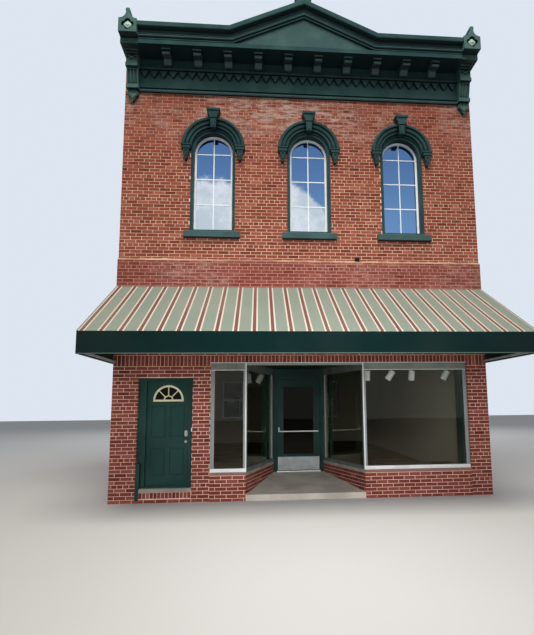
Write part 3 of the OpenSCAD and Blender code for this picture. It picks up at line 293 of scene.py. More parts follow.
# Satin nickel on brass of the knob and dead lock: warm, and smoother than the aluminium
satin_nickel = weathered("satin_nickel", "#c4bfb2 #b3ada0 #8d877b", 40, 3, 0.3, 0.02, 0.2, 0.95)
# Galvanised steel tube of the awning's frame, with its pale zinc bloom
tube_steel = weathered("galvanised_steel_tube", "#c4c9c6 #b2b7b4 #8d928f", 60, 8, 0.45, 0.1, 0.3, 0.25)
# Stove-enamelled steel of the spot lamps: white and even
lamp_enamel = weathered("white_lamp_enamel", "#fbfbf7 #f4f4ef #dadad4", 120, 6, 0.35, 0.05, 0.1)
# Cast iron of the wall's vent, painted black
black_iron = weathered("black_painted_iron", "#1d1f1f #161818 #0d0e0e", 60, 8, 0.55, 0.2)
# Extruded vinyl on the white window frames: a cool white that stays clean
white_vinyl = weathered("white_vinyl_frame", "#f6fcff #edf5f9 #c0c8cb", 140, 8, 0.4, 0.08, 0.2)
# The fanlight's frame, moulded plastic that the sun has turned cream
cream_plastic = weathered("sun_yellowed_plastic", "#dad7b4 #cdc9a2 #a19d7e", 90, 8, 0.45, 0.06, 0.25)
print("plain finishes", len(bpy.data.materials))

# %% [markdown]
# Glass in a window shows what is behind it and, over that, the sky. A real sky is many times brighter than
# soft studio light, so the mirror's share is raised in the upper windows until the reflection weighs what it
# does in the street. The studio's sky is plain, so the mirror's own colour carries the blue and the cloud.
# The transparent part lets the lamps into the rooms.

# %% Window glass
CLOUD_LEFT, CLOUD_RIGHT = 6.4, 4.9


def window_glass(name, tint, mirror_share, edge_share, reflected=None):
    """Clear float glass: transparent with a tint, mixed with a mirror whose share grows at the edge-on view.
    reflected, if given, makes the mirror's colour from the object coordinates."""
    material, shader, place = started(name)
    clear = add(place, "BsdfTransparent", (("Color", tint),))
    colour = reflected(place) if reflected else "#e4dccb"
    mirror = add(place, "BsdfGlossy", (("Color", colour), ("Roughness", 0.015)))
    grazing = add(place, "LayerWeight", (("Blend", 0.3),)).outputs["Fresnel"]
    share = result("range", grazing, mirror_share, edge_share)
    both = add(share, "MixShader", ((0, share), (1, clear.outputs[0]), (2, mirror.outputs[0])))
    feed(material.node_tree.nodes["Material Output"], ((0, both.outputs[0]),))
    material.node_tree.nodes.remove(shader)
    return material


def painted_sky_reflection(place):
    """A painted reflection of the sky: blue above and cloud below. The edge falls from CLOUD_LEFT on the left
    to CLOUD_RIGHT on the right, in metres, and is broken up by noise."""
    x, _, z = result("axes", place)
    edge = result("smooth", x, -0.3, 1.5, CLOUD_LEFT, CLOUD_RIGHT)
    ragged = result("MULTIPLY_ADD", result("noise", place, BLOTCH / 350, 6, 0.6), 0.9, -0.45)
    below = result("ADD", result("SUBTRACT", edge, z), ragged)
    puffs = result("smooth", result("noise", place, BLOTCH / 260, 5, 0.55), 0.35, 0.62)
    cloud = result("mix", puffs, "#ffffff", "#dfe7ea")
    blue = result("mix", result("smooth", z, 5.2, 7.3), "#7ba2cf", "#5c80b0")
    return result("mix", result("smooth", below, -0.1, 0.12), blue, cloud)


shop_glass = window_glass("shop_float_glass", "#f2f4f2", 0.004, 0.45)
upper_glass = window_glass("upper_float_glass", "#aebcc4", 0.93, 0.97, painted_sky_reflection)
door_glass = window_glass("grey_tinted_door_glass", "#70756f", 0.004, 0.3)
print("glass", shop_glass.name, upper_glass.name, door_glass.name)

# %% [markdown]
# A brick wall is two things: the mortar, which is the wall's own face, and the bricks, which stand a few
# millimetres in front of it because the joints are raked back. On the street side and at the back each brick
# is a small body with worn edges. On the plain party walls and inside the openings the same bond is drawn in
# the material, with its joints in the bump.

# %% Brick and mortar finishes
COURSE, BRICK_PITCH, JOINT = 68, 215, 10
PLASTER_TOP, PLASTER_EDGE = 8100, 40


def brick_clay(name, tones, bloom, bloom_share, bloom_levels):
    """Fired clay. The tone attribute picks each brick's colour. Bloom is pale salt high on the wall: it sets
    in between bloom_levels, in metres, and covers bloom_share where it is thickest."""
    material, shader, place = started(name)
    ramp = add(place, "ValToRGB", ((0, add(place, "Attribute", attribute_name="tone").outputs["Fac"]),))
    stops = ramp.color_ramp.elements
    stops[0].color, stops[1].color = linear(tones[0]), linear(tones[-1])
    for k, colour in enumerate(tones[1:-1], 1):
        stops.new(k / (len(tones) - 1)).color = linear(colour)
    scorched = result("smooth", result("noise", place, BLOTCH / 45, 4, 0.7), 0.4, 0.75)
    colour = result("mix", result("MULTIPLY", scorched, 0.3), ramp.outputs[0], tones[0])
    patches = result("smooth", result("noise", place, BLOTCH / 900, 6, 0.65), 0.38, 0.62)
    flattened = add(place, "Mapping", (("Vector", place), ("Scale", (1.0, 1.0, 5.0)))).outputs[0]
    streaks = result("smooth", result("noise", flattened, BLOTCH / 120, 6, 0.65), 0.42, 0.64)
    salt = result("smooth", result("axes", place)[2], *bloom_levels)
    for factor in (patches, streaks, bloom_share):
        salt = result("MULTIPLY", salt, factor)
    grain = result("noise", place, BLOTCH / 9, 5, 0.7)
    surfaced(shader, result("mix", salt, colour, bloom), 0.9, 0.15, grain, 1.2)
    return material


def brick_wall(name, clay_tones, mortar_tones, plain_front, high_mortar, high_levels):
    """Mortar, drawn bond and plaster on one wall. The bond is drawn on faces that carry no brick bodies, in
    (Y, Z) on side faces and (X, Z) on the others. Plaster covers what lies inside the rooms. plain_front
    leaves faces towards the street, the yard or the recess as mortar. The mortar turns to high_mortar between
    high_levels, in metres: it is older there and has taken the bricks' colour."""
    material, shader, place = started(name)
    x, y, z = result("axes", place)
    facing = result("axes", add(place, "NewGeometry").outputs["True Normal"])
    from_side, facing_side, facing_street = (result("ABSOLUTE", v) for v in (x, facing[0], facing[1]))
    along = add(place, "Mix", ((0, result("GREATER_THAN", facing_side, 0.5)), (2, x), (3, y))).outputs[0]
    face = add(place, "CombineXYZ", ((0, along), (1, z))).outputs[0]
    bond = add(place, "TexBrick", (
        ("Vector", face), ("Color1", clay_tones[0]), ("Color2", clay_tones[1]), ("Mortar", mortar_tones[0]),
        ("Scale", 1.0), ("Bias", 0.0), ("Mortar Size", JOINT / 2000), ("Mortar Smooth", 0.3),
        ("Brick Width", BRICK_PITCH / 1000), ("Row Height", COURSE / 1000))).outputs
    spots = result("MULTIPLY", result("noise", place, BLOTCH / 60, 5, 0.55), 0.35)
    drawn = result("mix", spots, bond["Color"], clay_tones[2])
    patches = result("smooth", result("noise", place, BLOTCH / 120, 5, 0.55), 0.35, 0.65)
    mortar = result("mix", patches, *mortar_tones)
    ragged = result("MULTIPLY_ADD", result("noise", place, BLOTCH / 500, 5, 0.55), 1.2, z)
    mortar = result("mix", result("smooth", ragged, *high_levels), mortar, high_mortar)
    plaster = result("mix", result("noise", place, BLOTCH / 700, 5, 0.55), "#cfc6ae", "#b7ad94")

    front, half_depth = SITE_Y / 1000, BACK_FACE / 2000
    from_middle = result("ABSOLUTE", result("SUBTRACT", y, front + half_depth))
    outward = result("MULTIPLY", result("GREATER_THAN", facing_street, 0.5),
                     result("GREATER_THAN", from_middle, half_depth - 0.1))
    in_recess = result("MULTIPLY", result("LESS_THAN", from_side, RECESS_OUTER / 1000 + 0.01),
                       result("LESS_THAN", z, SHOP_HEAD / 1000))
    plain = result("MULTIPLY", result("MAXIMUM", outward, in_recess), float(plain_front))
    skin = (WALL - PLASTER_EDGE) / 1000
    inside = result("LESS_THAN", from_side, HALF_WIDTH / 1000 - skin)
    for test, value, limit in (("GREATER_THAN", y, front + skin),
                               ("LESS_THAN", y, front + BACK_FACE / 1000 - skin),
                               ("LESS_THAN", z, PLASTER_TOP / 1000)):
        inside = result("MULTIPLY", inside, result(test, value, limit))
    joints = bond["Fac"]
    for covered in (plain, inside):
        joints = result("MULTIPLY", joints, result("SUBTRACT", 1.0, covered))
    sand = result("MULTIPLY", result("noise", place, BLOTCH / 6, 4, 0.7), 0.25)
    surfaced(shader, result("mix", inside, result("mix", plain, drawn, mortar), plaster), 0.92, 0.15,
             result("SUBTRACT", sand, joints), 4)
    return material


UPPER_TONES = ("#5e3028", "#783d32", "#8b4a3c", "#995847", "#a96b57")
STORE_TONES = ("#552a24", "#6c352d", "#7e4138", "#8d4e43", "#9f6154")
upper_brick = brick_clay("orange_red_facing_brick", UPPER_TONES, "#c4b5a9", 0.8, (6.9, 7.9))
store_brick = brick_clay("deep_red_facing_brick", STORE_TONES, "#c4a296", 0.42, (3.3, 4.0))
upper_wall = brick_wall("upper_brickwork_and_lime_mortar", UPPER_TONES[1:4], ("#ecd0b2", "#d6b595"), True,
                        "#c69c89", (7.1, 8.2))
store_wall = brick_wall("storefront_brickwork_and_mortar", STORE_TONES[1:4], ("#f0cbb5", "#dcb09b"), True,
                        "#c29384", (3.9, 4.5))
party_wall = brick_wall("party_wall_brickwork", UPPER_TONES[1:4], ("#b7a592", "#a08c7b"), False,
                        "#a08c7b", (7, 9))
print("brick finishes", upper_brick.name, store_brick.name)

# %% [markdown]
# Woven goods come next. The awning's cloth is an acrylic canvas. Its stripes are dyed yarn that runs from the
# wall to the front edge, so a stripe is a band of X. The plain green cloth of the front flap has a thin pale
# braid along its hem.

# %% Awning cloth
STRIPE_REPEAT, RED_HALF, CREAM_WIDTH, FIRST_RED = 289.5, 27, 25, 73
HEM_LEVEL, BRAID_WIDTH = 2560, 14


def stripes(place):
    """Bands of X by the distance from the nearest red stripe's middle: red, then cream, then grey green."""
    from_first = result("ADD", result("axes", place)[0], (HALF_WIDTH - FIRST_RED) / 1000)
    repeat = result("FRACT", result("DIVIDE", from_first, STRIPE_REPEAT / 1000))
    from_red = result("MULTIPLY", result("MINIMUM", repeat, result("SUBTRACT", 1.0, repeat)), STRIPE_REPEAT)
    edged = result("mix", result("LESS_THAN", from_red, RED_HALF + CREAM_WIDTH), "#7d887a", "#cdc1b3")
    return result("mix", result("LESS_THAN", from_red, RED_HALF), edged, "#6e4740")


def braided(place):
    """Bottle green, with the pale braid under HEM_LEVEL + BRAID_WIDTH."""
    in_braid = result("LESS_THAN", result("axes", place)[2], (HEM_LEVEL + BRAID_WIDTH) / 1000)
    return result("mix", in_braid, "#071f1e", "#5d7066")


def woven(name, dyed, dust, thread_mm=1.6):
    """Matt cloth with a soft sheen: dyed gives its colour from the object coordinates, and dust settles in
    blotches. The weave in the bump is (sin(turn X) sin(turn (Y + Z)) + 1) / 2, with turn = 2 pi / thread."""
    material, shader, place = started(name)
    x, y, z = result("axes", place)
    turn = 2 * math.pi / (thread_mm / 1000)
    warp, weft = (result("SINE", result("MULTIPLY", v, turn)) for v in (x, result("ADD", y, z)))
    weave = result("MULTIPLY_ADD", result("MULTIPLY", warp, weft), 0.5, 0.5)
    fade = result("smooth", result("noise", place, BLOTCH / 600, 5, 0.55), 0.35, 0.7)
    colour = result("mix", result("MULTIPLY", fade, dust), dyed(place), "#a8a28f")
    surfaced(shader, colour, 0.9, 0.1, weave, 0.35, 0.7, Sheen_Weight=0.06, Sheen_Roughness=0.5)
    return material


striped_canvas = woven("striped_acrylic_canvas", stripes, 0.14)
green_canvas = woven("green_acrylic_canvas", braided, 0.012)
print("stripe repeat", STRIPE_REPEAT, "mm")

# %% [markdown]
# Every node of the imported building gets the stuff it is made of. The awning's three nodes of cloth are
# replaced further down by the cloth itself. A piece that this lesson adds takes its slot from its finish.

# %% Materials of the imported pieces
FINISHES = {
    store_wall: "storefront_header left_pier middle_pier right_pier side_door_head_wall side_door_step "
                "left_bulkhead right_bulkhead",
    upper_wall: "upper_front_wall rear_wall",
    party_wall: "left_party_wall right_party_wall",
    sill_cement: "bulkhead_sills",
    ramp_concrete: "entry_ramp",
    floor_board: "ground_floor upper_floor display_decks",
    roof_felt: "roof",
    coping_clay: "parapet_coping",
    door_paint: "side_door_frame side_door_leaf rear_door",
    shaded_door_paint: "entry_door_frame entry_door_leaf",
    ceiling_boards: "shopfront_ceiling",
    satin_nickel: "side_door_lock",
    brushed_aluminium: "entry_kick_plate",
    bright_aluminium: "entry_push_bar",
    dull_aluminium: "left_shop_window right_shop_window",
    lamp_enamel: "display_lamps",
    bracket_paint: "cornice_modillions",
    white_vinyl: "window_frames rear_windows",
    tube_steel: "awning_frame",
    striped_canvas: "awning_canvas",
    green_canvas: "awning_valance awning_wings",
    green_paint: "window_casings window_hoods cornice_frieze cornice_crown centre_finial",
    ornament_paint: "end_consoles end_blocks",
    lit_green_paint: "window_sills pediment_panel",
    shop_glass: "shop_window_glass",
    door_glass: "side_door_fanlight entry_door_glass",
    upper_glass: "upper_window_glass rear_window_glass",
}
bare = set(nodes)
for material, names in FINISHES.items():
    for name in names.split():
        nodes[name].data.materials.clear()
        nodes[name].data.materials.append(material)
        bare.remove(name)
print("nodes without a finish:", sorted(bare))

# %% [markdown]
# Pieces are made from tables of numbers. One function turns a table of points and tables of faces into a mesh
# object in the row. The others make the tables: one small closed body repeated many times, or a swept bar.

# %% Meshes from tables
def piece(name, points, faces, finish, body="building", round_mm=0, smooth=False, tone=None):
    """A mesh object that rides on a body. points is (..., 3) millimetres of the front's drawing, faces a list
    of tables with rows of equal length. round_mm rounds sharp edges, as paint, wear or a folding press does.
    tone, if given, is one number per point."""
    points = np.reshape(points, (-1, 3))
    corners = np.concatenate([t.ravel() for t in faces]).astype(np.int32)
    sizes = np.concatenate([np.full(len(t), t.shape[1]) for t in faces])
    mesh = bpy.data.meshes.new(name)
    mesh.vertices.add(len(points))
    mesh.vertices.foreach_set("co", in_row(points).ravel())
    mesh.loops.add(len(corners))
    mesh.loops.foreach_set("vertex_index", corners)
    mesh.polygons.add(len(sizes))
    mesh.polygons.foreach_set("loop_start", (np.cumsum(sizes) - sizes).astype(np.int32))
    if tone is not None:
        mesh.attributes.new("tone", "FLOAT", "POINT").data.foreach_set("value", tone.astype(np.float32))
    mesh.update(calc_edges=True)
    mesh.validate()
    mesh.shade_smooth() if smooth else mesh.shade_flat()
    mesh.materials.append(finish)
    made = linked(name, mesh)
    if round_mm:
        bevel = made.modifiers.new("worn_edges", "BEVEL")
        bevel.width, bevel.segments, bevel.limit_method = round_mm / 1000, 2, "ANGLE"
    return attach(made, body)


def zipped(*columns):
    """One table from its columns. Single numbers and short columns are repeated."""
    return np.stack(np.broadcast_arrays(*columns), -1)


def repeated(faces, count, size):
    """The faces of one body for count bodies with size points each."""
    return (faces + size * np.arange(count)[:, None, None]).reshape(-1, faces.shape[1])


BOX_CORNERS = np.array([[x, y, z] for z in (0, 1) for y in (0, 1) for x in (0, 1)])
BOX_FACES = np.array([[0, 2, 3, 1], [4, 5, 7, 6], [0, 1, 5, 4], [2, 6, 7, 3], [0, 4, 6, 2], [1, 3, 7, 5]])


def bars(name, spans, finish, body="building", round_mm=1.5):
    """One closed box for each row (x0, y0, z0, x1, y1, z1)."""
    spans = np.asarray(spans, float).reshape(-1, 2, 3)
    points = spans[:, :1] + BOX_CORNERS * (spans[:, 1:] - spans[:, :1])
    return piece(name, points, [repeated(BOX_FACES, len(spans), 8)], finish, body, round_mm)


def swept(rings, corners):
    """The walls and the two ends of a closed bar whose points are rings of corners, one behind the other."""
    here = np.arange(corners)
    after = np.roll(here, -1)
    walls = zipped(here, after, after + corners, here + corners)
    return [repeated(walls, rings - 1, corners), np.array([here[::-1], here + corners * (rings - 1)])]


print("box template", len(BOX_FACES), "faces")

# %% [markdown]
# Bricklaying, in three steps. First the courses: rectangles of a running bond, where every seventh course
# shows headers, the short ends that tie the wall together. Next the openings: a rectangle that runs into a
# hole is split into what is left of it beside, above and below. Last the bodies: each rectangle becomes a
# brick with a worn edge that stands out of the mortar by its own small amount.

# %% Laying bricks
BRICK_PROUD, PROUD_SPREAD, WORN_EDGE, WORN_DEPTH, BRICK_FOOT, LEAST_BRICK = 5.0, 1.3, 3.0, 2.5, 2, 14
FAR = 1e6
dice = np.random.default_rng(7)


def trimmed(table, field):
    """The rectangles cut to the field, with the slivers that no bricklayer would set left out."""
    low, high = np.maximum(table[:, :2], field[:2]), np.minimum(table[:, 2:], field[2:])
    return np.hstack((low, high))[(high - low > LEAST_BRICK).all(axis=1)]


def courses(x0, x1, z0, z1, headers=True, downwards=False):
    """Rectangles (x0, z0, x1, z1) of one wall field. Course n starts COURSE * n above z0, or below z1. With
    headers, the fifth of every seven courses shows them."""
    n = np.arange(int(np.ceil((z1 - z0) / COURSE)))
    low = (z1 - COURSE * (n + 1) if downwards else z0 + COURSE * n)[:, None]
    header = (n % 7 == 4) & headers
    pitch = np.where(header, BRICK_PITCH / 2, BRICK_PITCH)[:, None]
    start = x0 - BRICK_PITCH + np.where(header, BRICK_PITCH / 4, (n % 2) * BRICK_PITCH / 2)
    columns = np.arange(int((x1 - x0) / (BRICK_PITCH / 2)) + 4)
    left = start[:, None] + columns * pitch
    table = zipped(left, low, left + pitch - JOINT, low + COURSE - JOINT)
    return trimmed(table.reshape(-1, 4), (x0, z0, x1, z1))


def upright_course(x0, x1, z0, z1, pitch=COURSE):
    """Bricks on end or on edge, side by side."""
    left = np.arange(x0 + JOINT / 2, x1 - pitch / 2, pitch)
    return trimmed(zipped(left, z0, left + pitch - JOINT, z1 - JOINT), (x0, z0, x1, z1))


def without(table, hole):
    """Takes a rectangular hole out of the rectangles: what it cuts is left beside, below and above it."""
    hit = ((table[:, :2] < hole[2:]) & (table[:, 2:] > hole[:2])).all(axis=1)
    around = ((-FAR, -FAR, hole[0], FAR), (hole[2], -FAR, FAR, FAR),
              (hole[0], -FAR, hole[2], hole[1]), (hole[0], hole[3], hole[2], FAR))
    return np.concatenate([table[~hit], *(trimmed(table[hit], field) for field in around)])


def without_arch(table, centre_x, centre_z, radius):
    """Takes a half circle above centre_z out of the rectangles, each cut square at its own middle height."""
    middle = table[:, [1, 3]].mean(axis=1) - centre_z
    chord = np.sqrt(np.maximum(radius ** 2 - middle ** 2, 0)) * (middle > 0)
    hit = (chord > 0) & (table[:, 0] < centre_x + chord) & (table[:, 2] > centre_x - chord)
    left, right = table[hit].copy(), table[hit].copy()
    left[:, 2] = np.minimum(left[:, 2], centre_x - chord[hit])
    right[:, 0] = np.maximum(right[:, 0], centre_x + chord[hit])
    return np.concatenate([table[~hit], trimmed(np.concatenate((left, right)), (-FAR, -FAR, FAR, FAR))])


BRICK_FACES = np.concatenate(swept(3, 4))[:, ::-1]


def bricks(name, table, finish, origin, along=(1, 0, 0), tone_spread=0.17):
    """Brick bodies on a wall plane. A rectangle's x runs from origin along the wall and its z is a height.
    Outward is the cross product of along and up. Rings from front to back: worn edge, shoulder, and foot."""
    along = along / np.linalg.norm(along)
    directions = np.array((along, np.cross(along, (0, 0, 1)), (0, 0, 1)))
    proud = BRICK_PROUD + dice.uniform(-PROUD_SPREAD, PROUD_SPREAD, len(table))
    tone = np.clip(dice.normal(0.5, tone_spread, len(table)), 0, 1)
    inset = np.repeat((WORN_EDGE, 0.0, 0.0), 4)
    depth = proud[:, None] * np.repeat((1, 1, 0), 4) - np.repeat((0, WORN_DEPTH, BRICK_FOOT), 4)
    sign_x, sign_z = np.tile((1, -1, -1, 1), 3), np.tile((1, 1, -1, -1), 3)
    u = np.where(sign_x > 0, table[:, :1], table[:, 2:3]) + inset * sign_x
    v = np.where(sign_z > 0, table[:, 1:2], table[:, 3:]) + inset * sign_z
    points = origin + zipped(u, depth, v) @ directions
    return piece(name, points, [repeated(BRICK_FACES, len(table), 12)], finish, tone=np.repeat(tone, 12))


print("brick template", len(BRICK_FACES), "faces")

# %% [markdown]
# The upper wall: courses from the band's top to the cornice, with a hole at each window. The bricks stop half
# way under a window's hood, so nothing pokes into the arch.

# %% Bricks of the upper front
HOOD_CENTRE, HOOD_MIDDLE, SILL_HALF, SILL_BOTTOM, CORNICE_BOTTOM = 6990, 560, 540, 5095, 8190
table = courses(-BRICKS_HALF, BRICKS_HALF, BAND_TOP, CORNICE_BOTTOM)
for x in WINDOW_CENTRES:
    table = without(table, (x - WINDOW_HALF, WINDOW_SILL - 20, x + WINDOW_HALF, HOOD_CENTRE))
    table = without(table, (x - SILL_HALF, SILL_BOTTOM, x + SILL_HALF, WINDOW_SILL - 10))
    table = without_arch(table, x, HOOD_CENTRE, HOOD_MIDDLE)
bricks("upper_front_bricks", table, upper_brick, (0, 0, 0))
print("upper front", len(table), "bricks")

# %% [markdown]
# The shop's wall is younger: smoother, pinker brick. A soldier course, bricks on end, runs right across over
# the openings. The piers and the strip over the side door hang their courses from it.

# %% Bricks of the storefront
SOLDIER_BOTTOM, SOLDIER_TOP, SOLDIER_PITCH, BAND_COURSES_TOP = 2520, 2735, 73, 4604
ROWLOCK_BOTTOM, ROWLOCK_TOP, LOW_TOP = 84, 196, BULKHEAD_TOP - 2
soldiers = upright_course(-BRICKS_HALF, BRICKS_HALF, SOLDIER_BOTTOM, SOLDIER_TOP, SOLDIER_PITCH)
soldiers = without(soldiers, (SHOP_LEFT, 0, SHOP_RIGHT, SHOP_HEAD))
band = courses(-BRICKS_HALF, BRICKS_HALF, SOLDIER_TOP, BAND_COURSES_TOP)
piers = courses(-BRICKS_HALF, BRICKS_HALF, 0, SOLDIER_BOTTOM, downwards=True)
piers = without(piers, (SHOP_LEFT, -100, SHOP_RIGHT, SOLDIER_BOTTOM + 100))
piers = without(piers, (SIDE_DOOR_LEFT, ROWLOCK_BOTTOM, SIDE_DOOR_RIGHT, SIDE_DOOR_HEAD))
rowlock = upright_course(SIDE_DOOR_LEFT, SIDE_DOOR_RIGHT, ROWLOCK_BOTTOM, ROWLOCK_TOP)
low = [courses(x0, x1, 0, LOW_TOP, headers=False, downwards=True)
       for x0, x1 in ((SHOP_LEFT, -RECESS_OUTER), (RECESS_OUTER, SHOP_RIGHT))]
table = np.concatenate([soldiers, band, piers, rowlock, *low])
spread = np.where(table[:, 1] > SOLDIER_TOP - 1, 0.1, 0.17)
bricks("storefront_bricks", table, store_brick, (0, STORE_FACE, 0), tone_spread=spread)

run = np.array((RECESS_OUTER - RECESS_INNER, DOOR_PLANE - STORE_FACE, 0.0))
side_table = courses(0, np.linalg.norm(run), 0, LOW_TOP, headers=False, downwards=True)
bricks("recess_bricks_left", side_table, store_brick, (-RECESS_OUTER, STORE_FACE, 0), run)
bricks("recess_bricks_right", side_table, store_brick, (RECESS_INNER, DOOR_PLANE, 0), run * (1, -1, 1))
print("storefront", len(table), "bricks, recess", 2 * len(side_table))

# %% [markdown]
# The back wall repeats the upper brick in its full height, round five windows and a door.

# %% Bricks of the back
REAR_TOP, REAR_ROW, REAR_HALF, REAR_UPPER, REAR_LOWER = 8600, 1963, 430, (5250, 7050), (1250, 2750)
REAR_WINDOWS = [(x, REAR_UPPER) for x in (-REAR_ROW, 0, REAR_ROW)]
REAR_WINDOWS += [(x, REAR_LOWER) for x in (-REAR_ROW, REAR_ROW)]
REAR_DOOR = (-480, 300, 480, 2450)
table = courses(-BRICKS_HALF, BRICKS_HALF, 0, REAR_TOP)
for x, (z0, z1) in REAR_WINDOWS:
    table = without(table, (x - REAR_HALF, z0, x + REAR_HALF, z1))
table = without(table, REAR_DOOR)
bricks("rear_bricks", table, upper_brick, (0, BACK_FACE, 0), (-1, 0, 0))
print("back", len(table), "bricks")

# %% [markdown]
# Glazing bars. Each upper window has one upright bar, a bar at the springing of its arch and two more below,
# three equal rows. The back windows have a meeting rail.

# %% Glazing bars
SASH_HALF, SASH_BOTTOM, BAR_HALF, BAR_FRONT, BAR_BACK = 350, 5310, 10, 186, 212
RAIL_HALF, RAIL_DEPTH, REAR_GLASS, REAR_FRAME = 24, 16, 11890, 50
rows = np.linspace(SASH_BOTTOM, WINDOW_SPRING, 4)[1:]
spans = []
for x in WINDOW_CENTRES:
    spans.append((x - BAR_HALF, BAR_FRONT, SASH_BOTTOM - 2,
                  x + BAR_HALF, BAR_BACK, WINDOW_SPRING + SASH_HALF + 2))
    spans += [(x - SASH_HALF - 2, BAR_FRONT + 1, z - BAR_HALF, x + SASH_HALF + 2, BAR_BACK - 1, z + BAR_HALF)
              for z in rows]
bars("window_bars", spans, white_vinyl)
rails = [(x - REAR_HALF + REAR_FRAME, REAR_GLASS - RAIL_DEPTH, sum(heights) / 2 - RAIL_HALF,
          x + REAR_HALF - REAR_FRAME, REAR_GLASS + RAIL_DEPTH, sum(heights) / 2 + RAIL_HALF)
         for x, heights in REAR_WINDOWS]
bars("rear_meeting_rails", rails, white_vinyl)
print("glazing bars", len(spans), "meeting rails", len(rails))

# %% [markdown]
# The side door's half-round light has a cream frame: a half ring, a smaller one as its hub, three spokes that
# spread from the hub, and a flat bar as its foot.

# %% Fanlight frame
FAN_X, FAN_Z, FAN_OUTER, FAN_INNER, HUB_OUTER, HUB_INNER, SPOKE_HALF = -2633, 1880, 288, 250, 92, 70, 9
FAN_FRONT, FAN_BACK, FAN_RINGS, FOOT_DEPTH, FOOT_HEIGHT = 105, 126, 49, 24, 36


def about_hub(angle, reach, depth, beside=0):
    """Points at reach from the fanlight's centre in the direction of angle, and beside that line:
    X = reach cos(angle) - beside sin(angle), Z = reach sin(angle) + beside cos(angle)."""
    x = FAN_X + reach * np.cos(angle) - beside * np.sin(angle)
    z = FAN_Z + reach * np.sin(angle) + beside * np.cos(angle)
    return zipped(x, depth, z).reshape(-1, 3)


parts = []
for inner, outer, front in ((FAN_INNER, FAN_OUTER, FAN_FRONT), (HUB_INNER, HUB_OUTER, FAN_FRONT + 2)):
    reach, depth = np.array([(inner, front), (outer, front), (outer, FAN_BACK), (inner, FAN_BACK)]).T
    angles = np.linspace(0, math.pi, FAN_RINGS)[:, None]
    parts.append((about_hub(angles, reach, depth), swept(FAN_RINGS, 4)))
spoke = BOX_CORNERS * (FAN_INNER - HUB_OUTER + 10, FAN_BACK - FAN_FRONT - 4, 2 * SPOKE_HALF)
spoke = spoke + (HUB_OUTER - 4, FAN_FRONT + 3, -SPOKE_HALF)
parts += [(about_hub(math.radians(degrees), *spoke.T), [BOX_FACES]) for degrees in (45, 90, 135)]
foot = BOX_CORNERS * (2 * FAN_OUTER, FAN_BACK - FAN_FRONT, FOOT_HEIGHT)
parts.append((foot + (FAN_X - FAN_OUTER, FAN_FRONT, FAN_Z - FOOT_DEPTH), [BOX_FACES]))
points, tables = np.concatenate([points for points, _ in parts]), []
start = 0
for part, faces in parts:
    tables += [table + start for table in faces]
    start += len(part)
piece("fanlight_frame", points, tables, cream_plastic, "side_door", 2)
print("fanlight pieces", len(parts))

# %% [markdown]
# A fillet of mortar sheds the rain from the ledge where the upper wall steps back. It was laid by hand, so
# its top edge wanders by a few millimetres.

# %% Mortar fillet on the ledge
FILLET_RINGS = 147
x = np.linspace(-HALF_WIDTH + 3, HALF_WIDTH - 3, FILLET_RINGS)
section = np.array([(0.5, -24), (0.5, 26), (-6, 26), (STORE_FACE + 8, -12), (STORE_FACE + 4, -24)])
points = np.empty((FILLET_RINGS, len(section), 3))
points[..., 0], points[..., 1:] = x[:, None], section + (0, BAND_TOP)
points[:, 1:3, 2] += (6 * np.sin(x / 83) * np.sin(x / 311 + 1) + 3 * np.sin(x / 37))[:, None]
piece("ledge_fillet", points, swept(FILLET_RINGS, len(section)), lime_fillet)
print("ledge fillet, sections:", FILLET_RINGS)

# %% [markdown]
# The shopfront's small metal. A steel angle carries the bricks over the shop opening and shows as a thin pale
# line. Under it an aluminium channel closes the mouth of the recess. Flat caps cover the windows' bottom bars
# and corner posts, and painted boards stand inside the glass at its ends. The doors and the wall have small
# fittings of their own.

# %% Trim of the shopfront and the doors
WINDOW_FACE, FRAME_BOTTOM, FOOT_TOP, HEAD_BOTTOM, HEAD = -22, 520, 590, 2440, SHOP_HEAD - 1
CORNER = RECESS_OUTER - 12
caps = [(SHOP_LEFT + 1, STORE_FACE - 4, SHOP_HEAD - 10, SHOP_RIGHT - 1, WINDOW_FACE, SHOP_HEAD)]
heads, side_boards = [], [(SHOP_RIGHT - 98, 40, FRAME_BOTTOM, SHOP_RIGHT - 75, 370, HEAD)]
for side, end in ((-1, SHOP_LEFT + 1), (1, SHOP_RIGHT - 1)):
    x0, x1 = sorted((end, side * CORNER))
    caps.append((x0, WINDOW_FACE - 7, FRAME_BOTTOM + 1, x1, WINDOW_FACE, FOOT_TOP - 2))
    caps.append((x0 + 8, WINDOW_FACE - 4, HEAD_BOTTOM, x1 - 8, WINDOW_FACE, HEAD_BOTTOM + 12))
    x0, x1 = sorted((end - side * 12, side * (CORNER + 46)))
    heads.append((x0, WINDOW_FACE - 3, HEAD_BOTTOM + 14, x1, WINDOW_FACE, SHOP_HEAD - 12))
for side in (-1, 1):
    x0, x1 = sorted((side * (CORNER + 4), side * (CORNER + 26)))
    caps.append((x0, WINDOW_FACE - 9, FRAME_BOTTOM + 1, x1, WINDOW_FACE - 1, SHOP_HEAD - 11))
    x0, x1 = sorted((side * 700, side * 762))
    side_boards.append((x0, 1740, FRAME_BOTTOM, x1, 1858, HEAD))
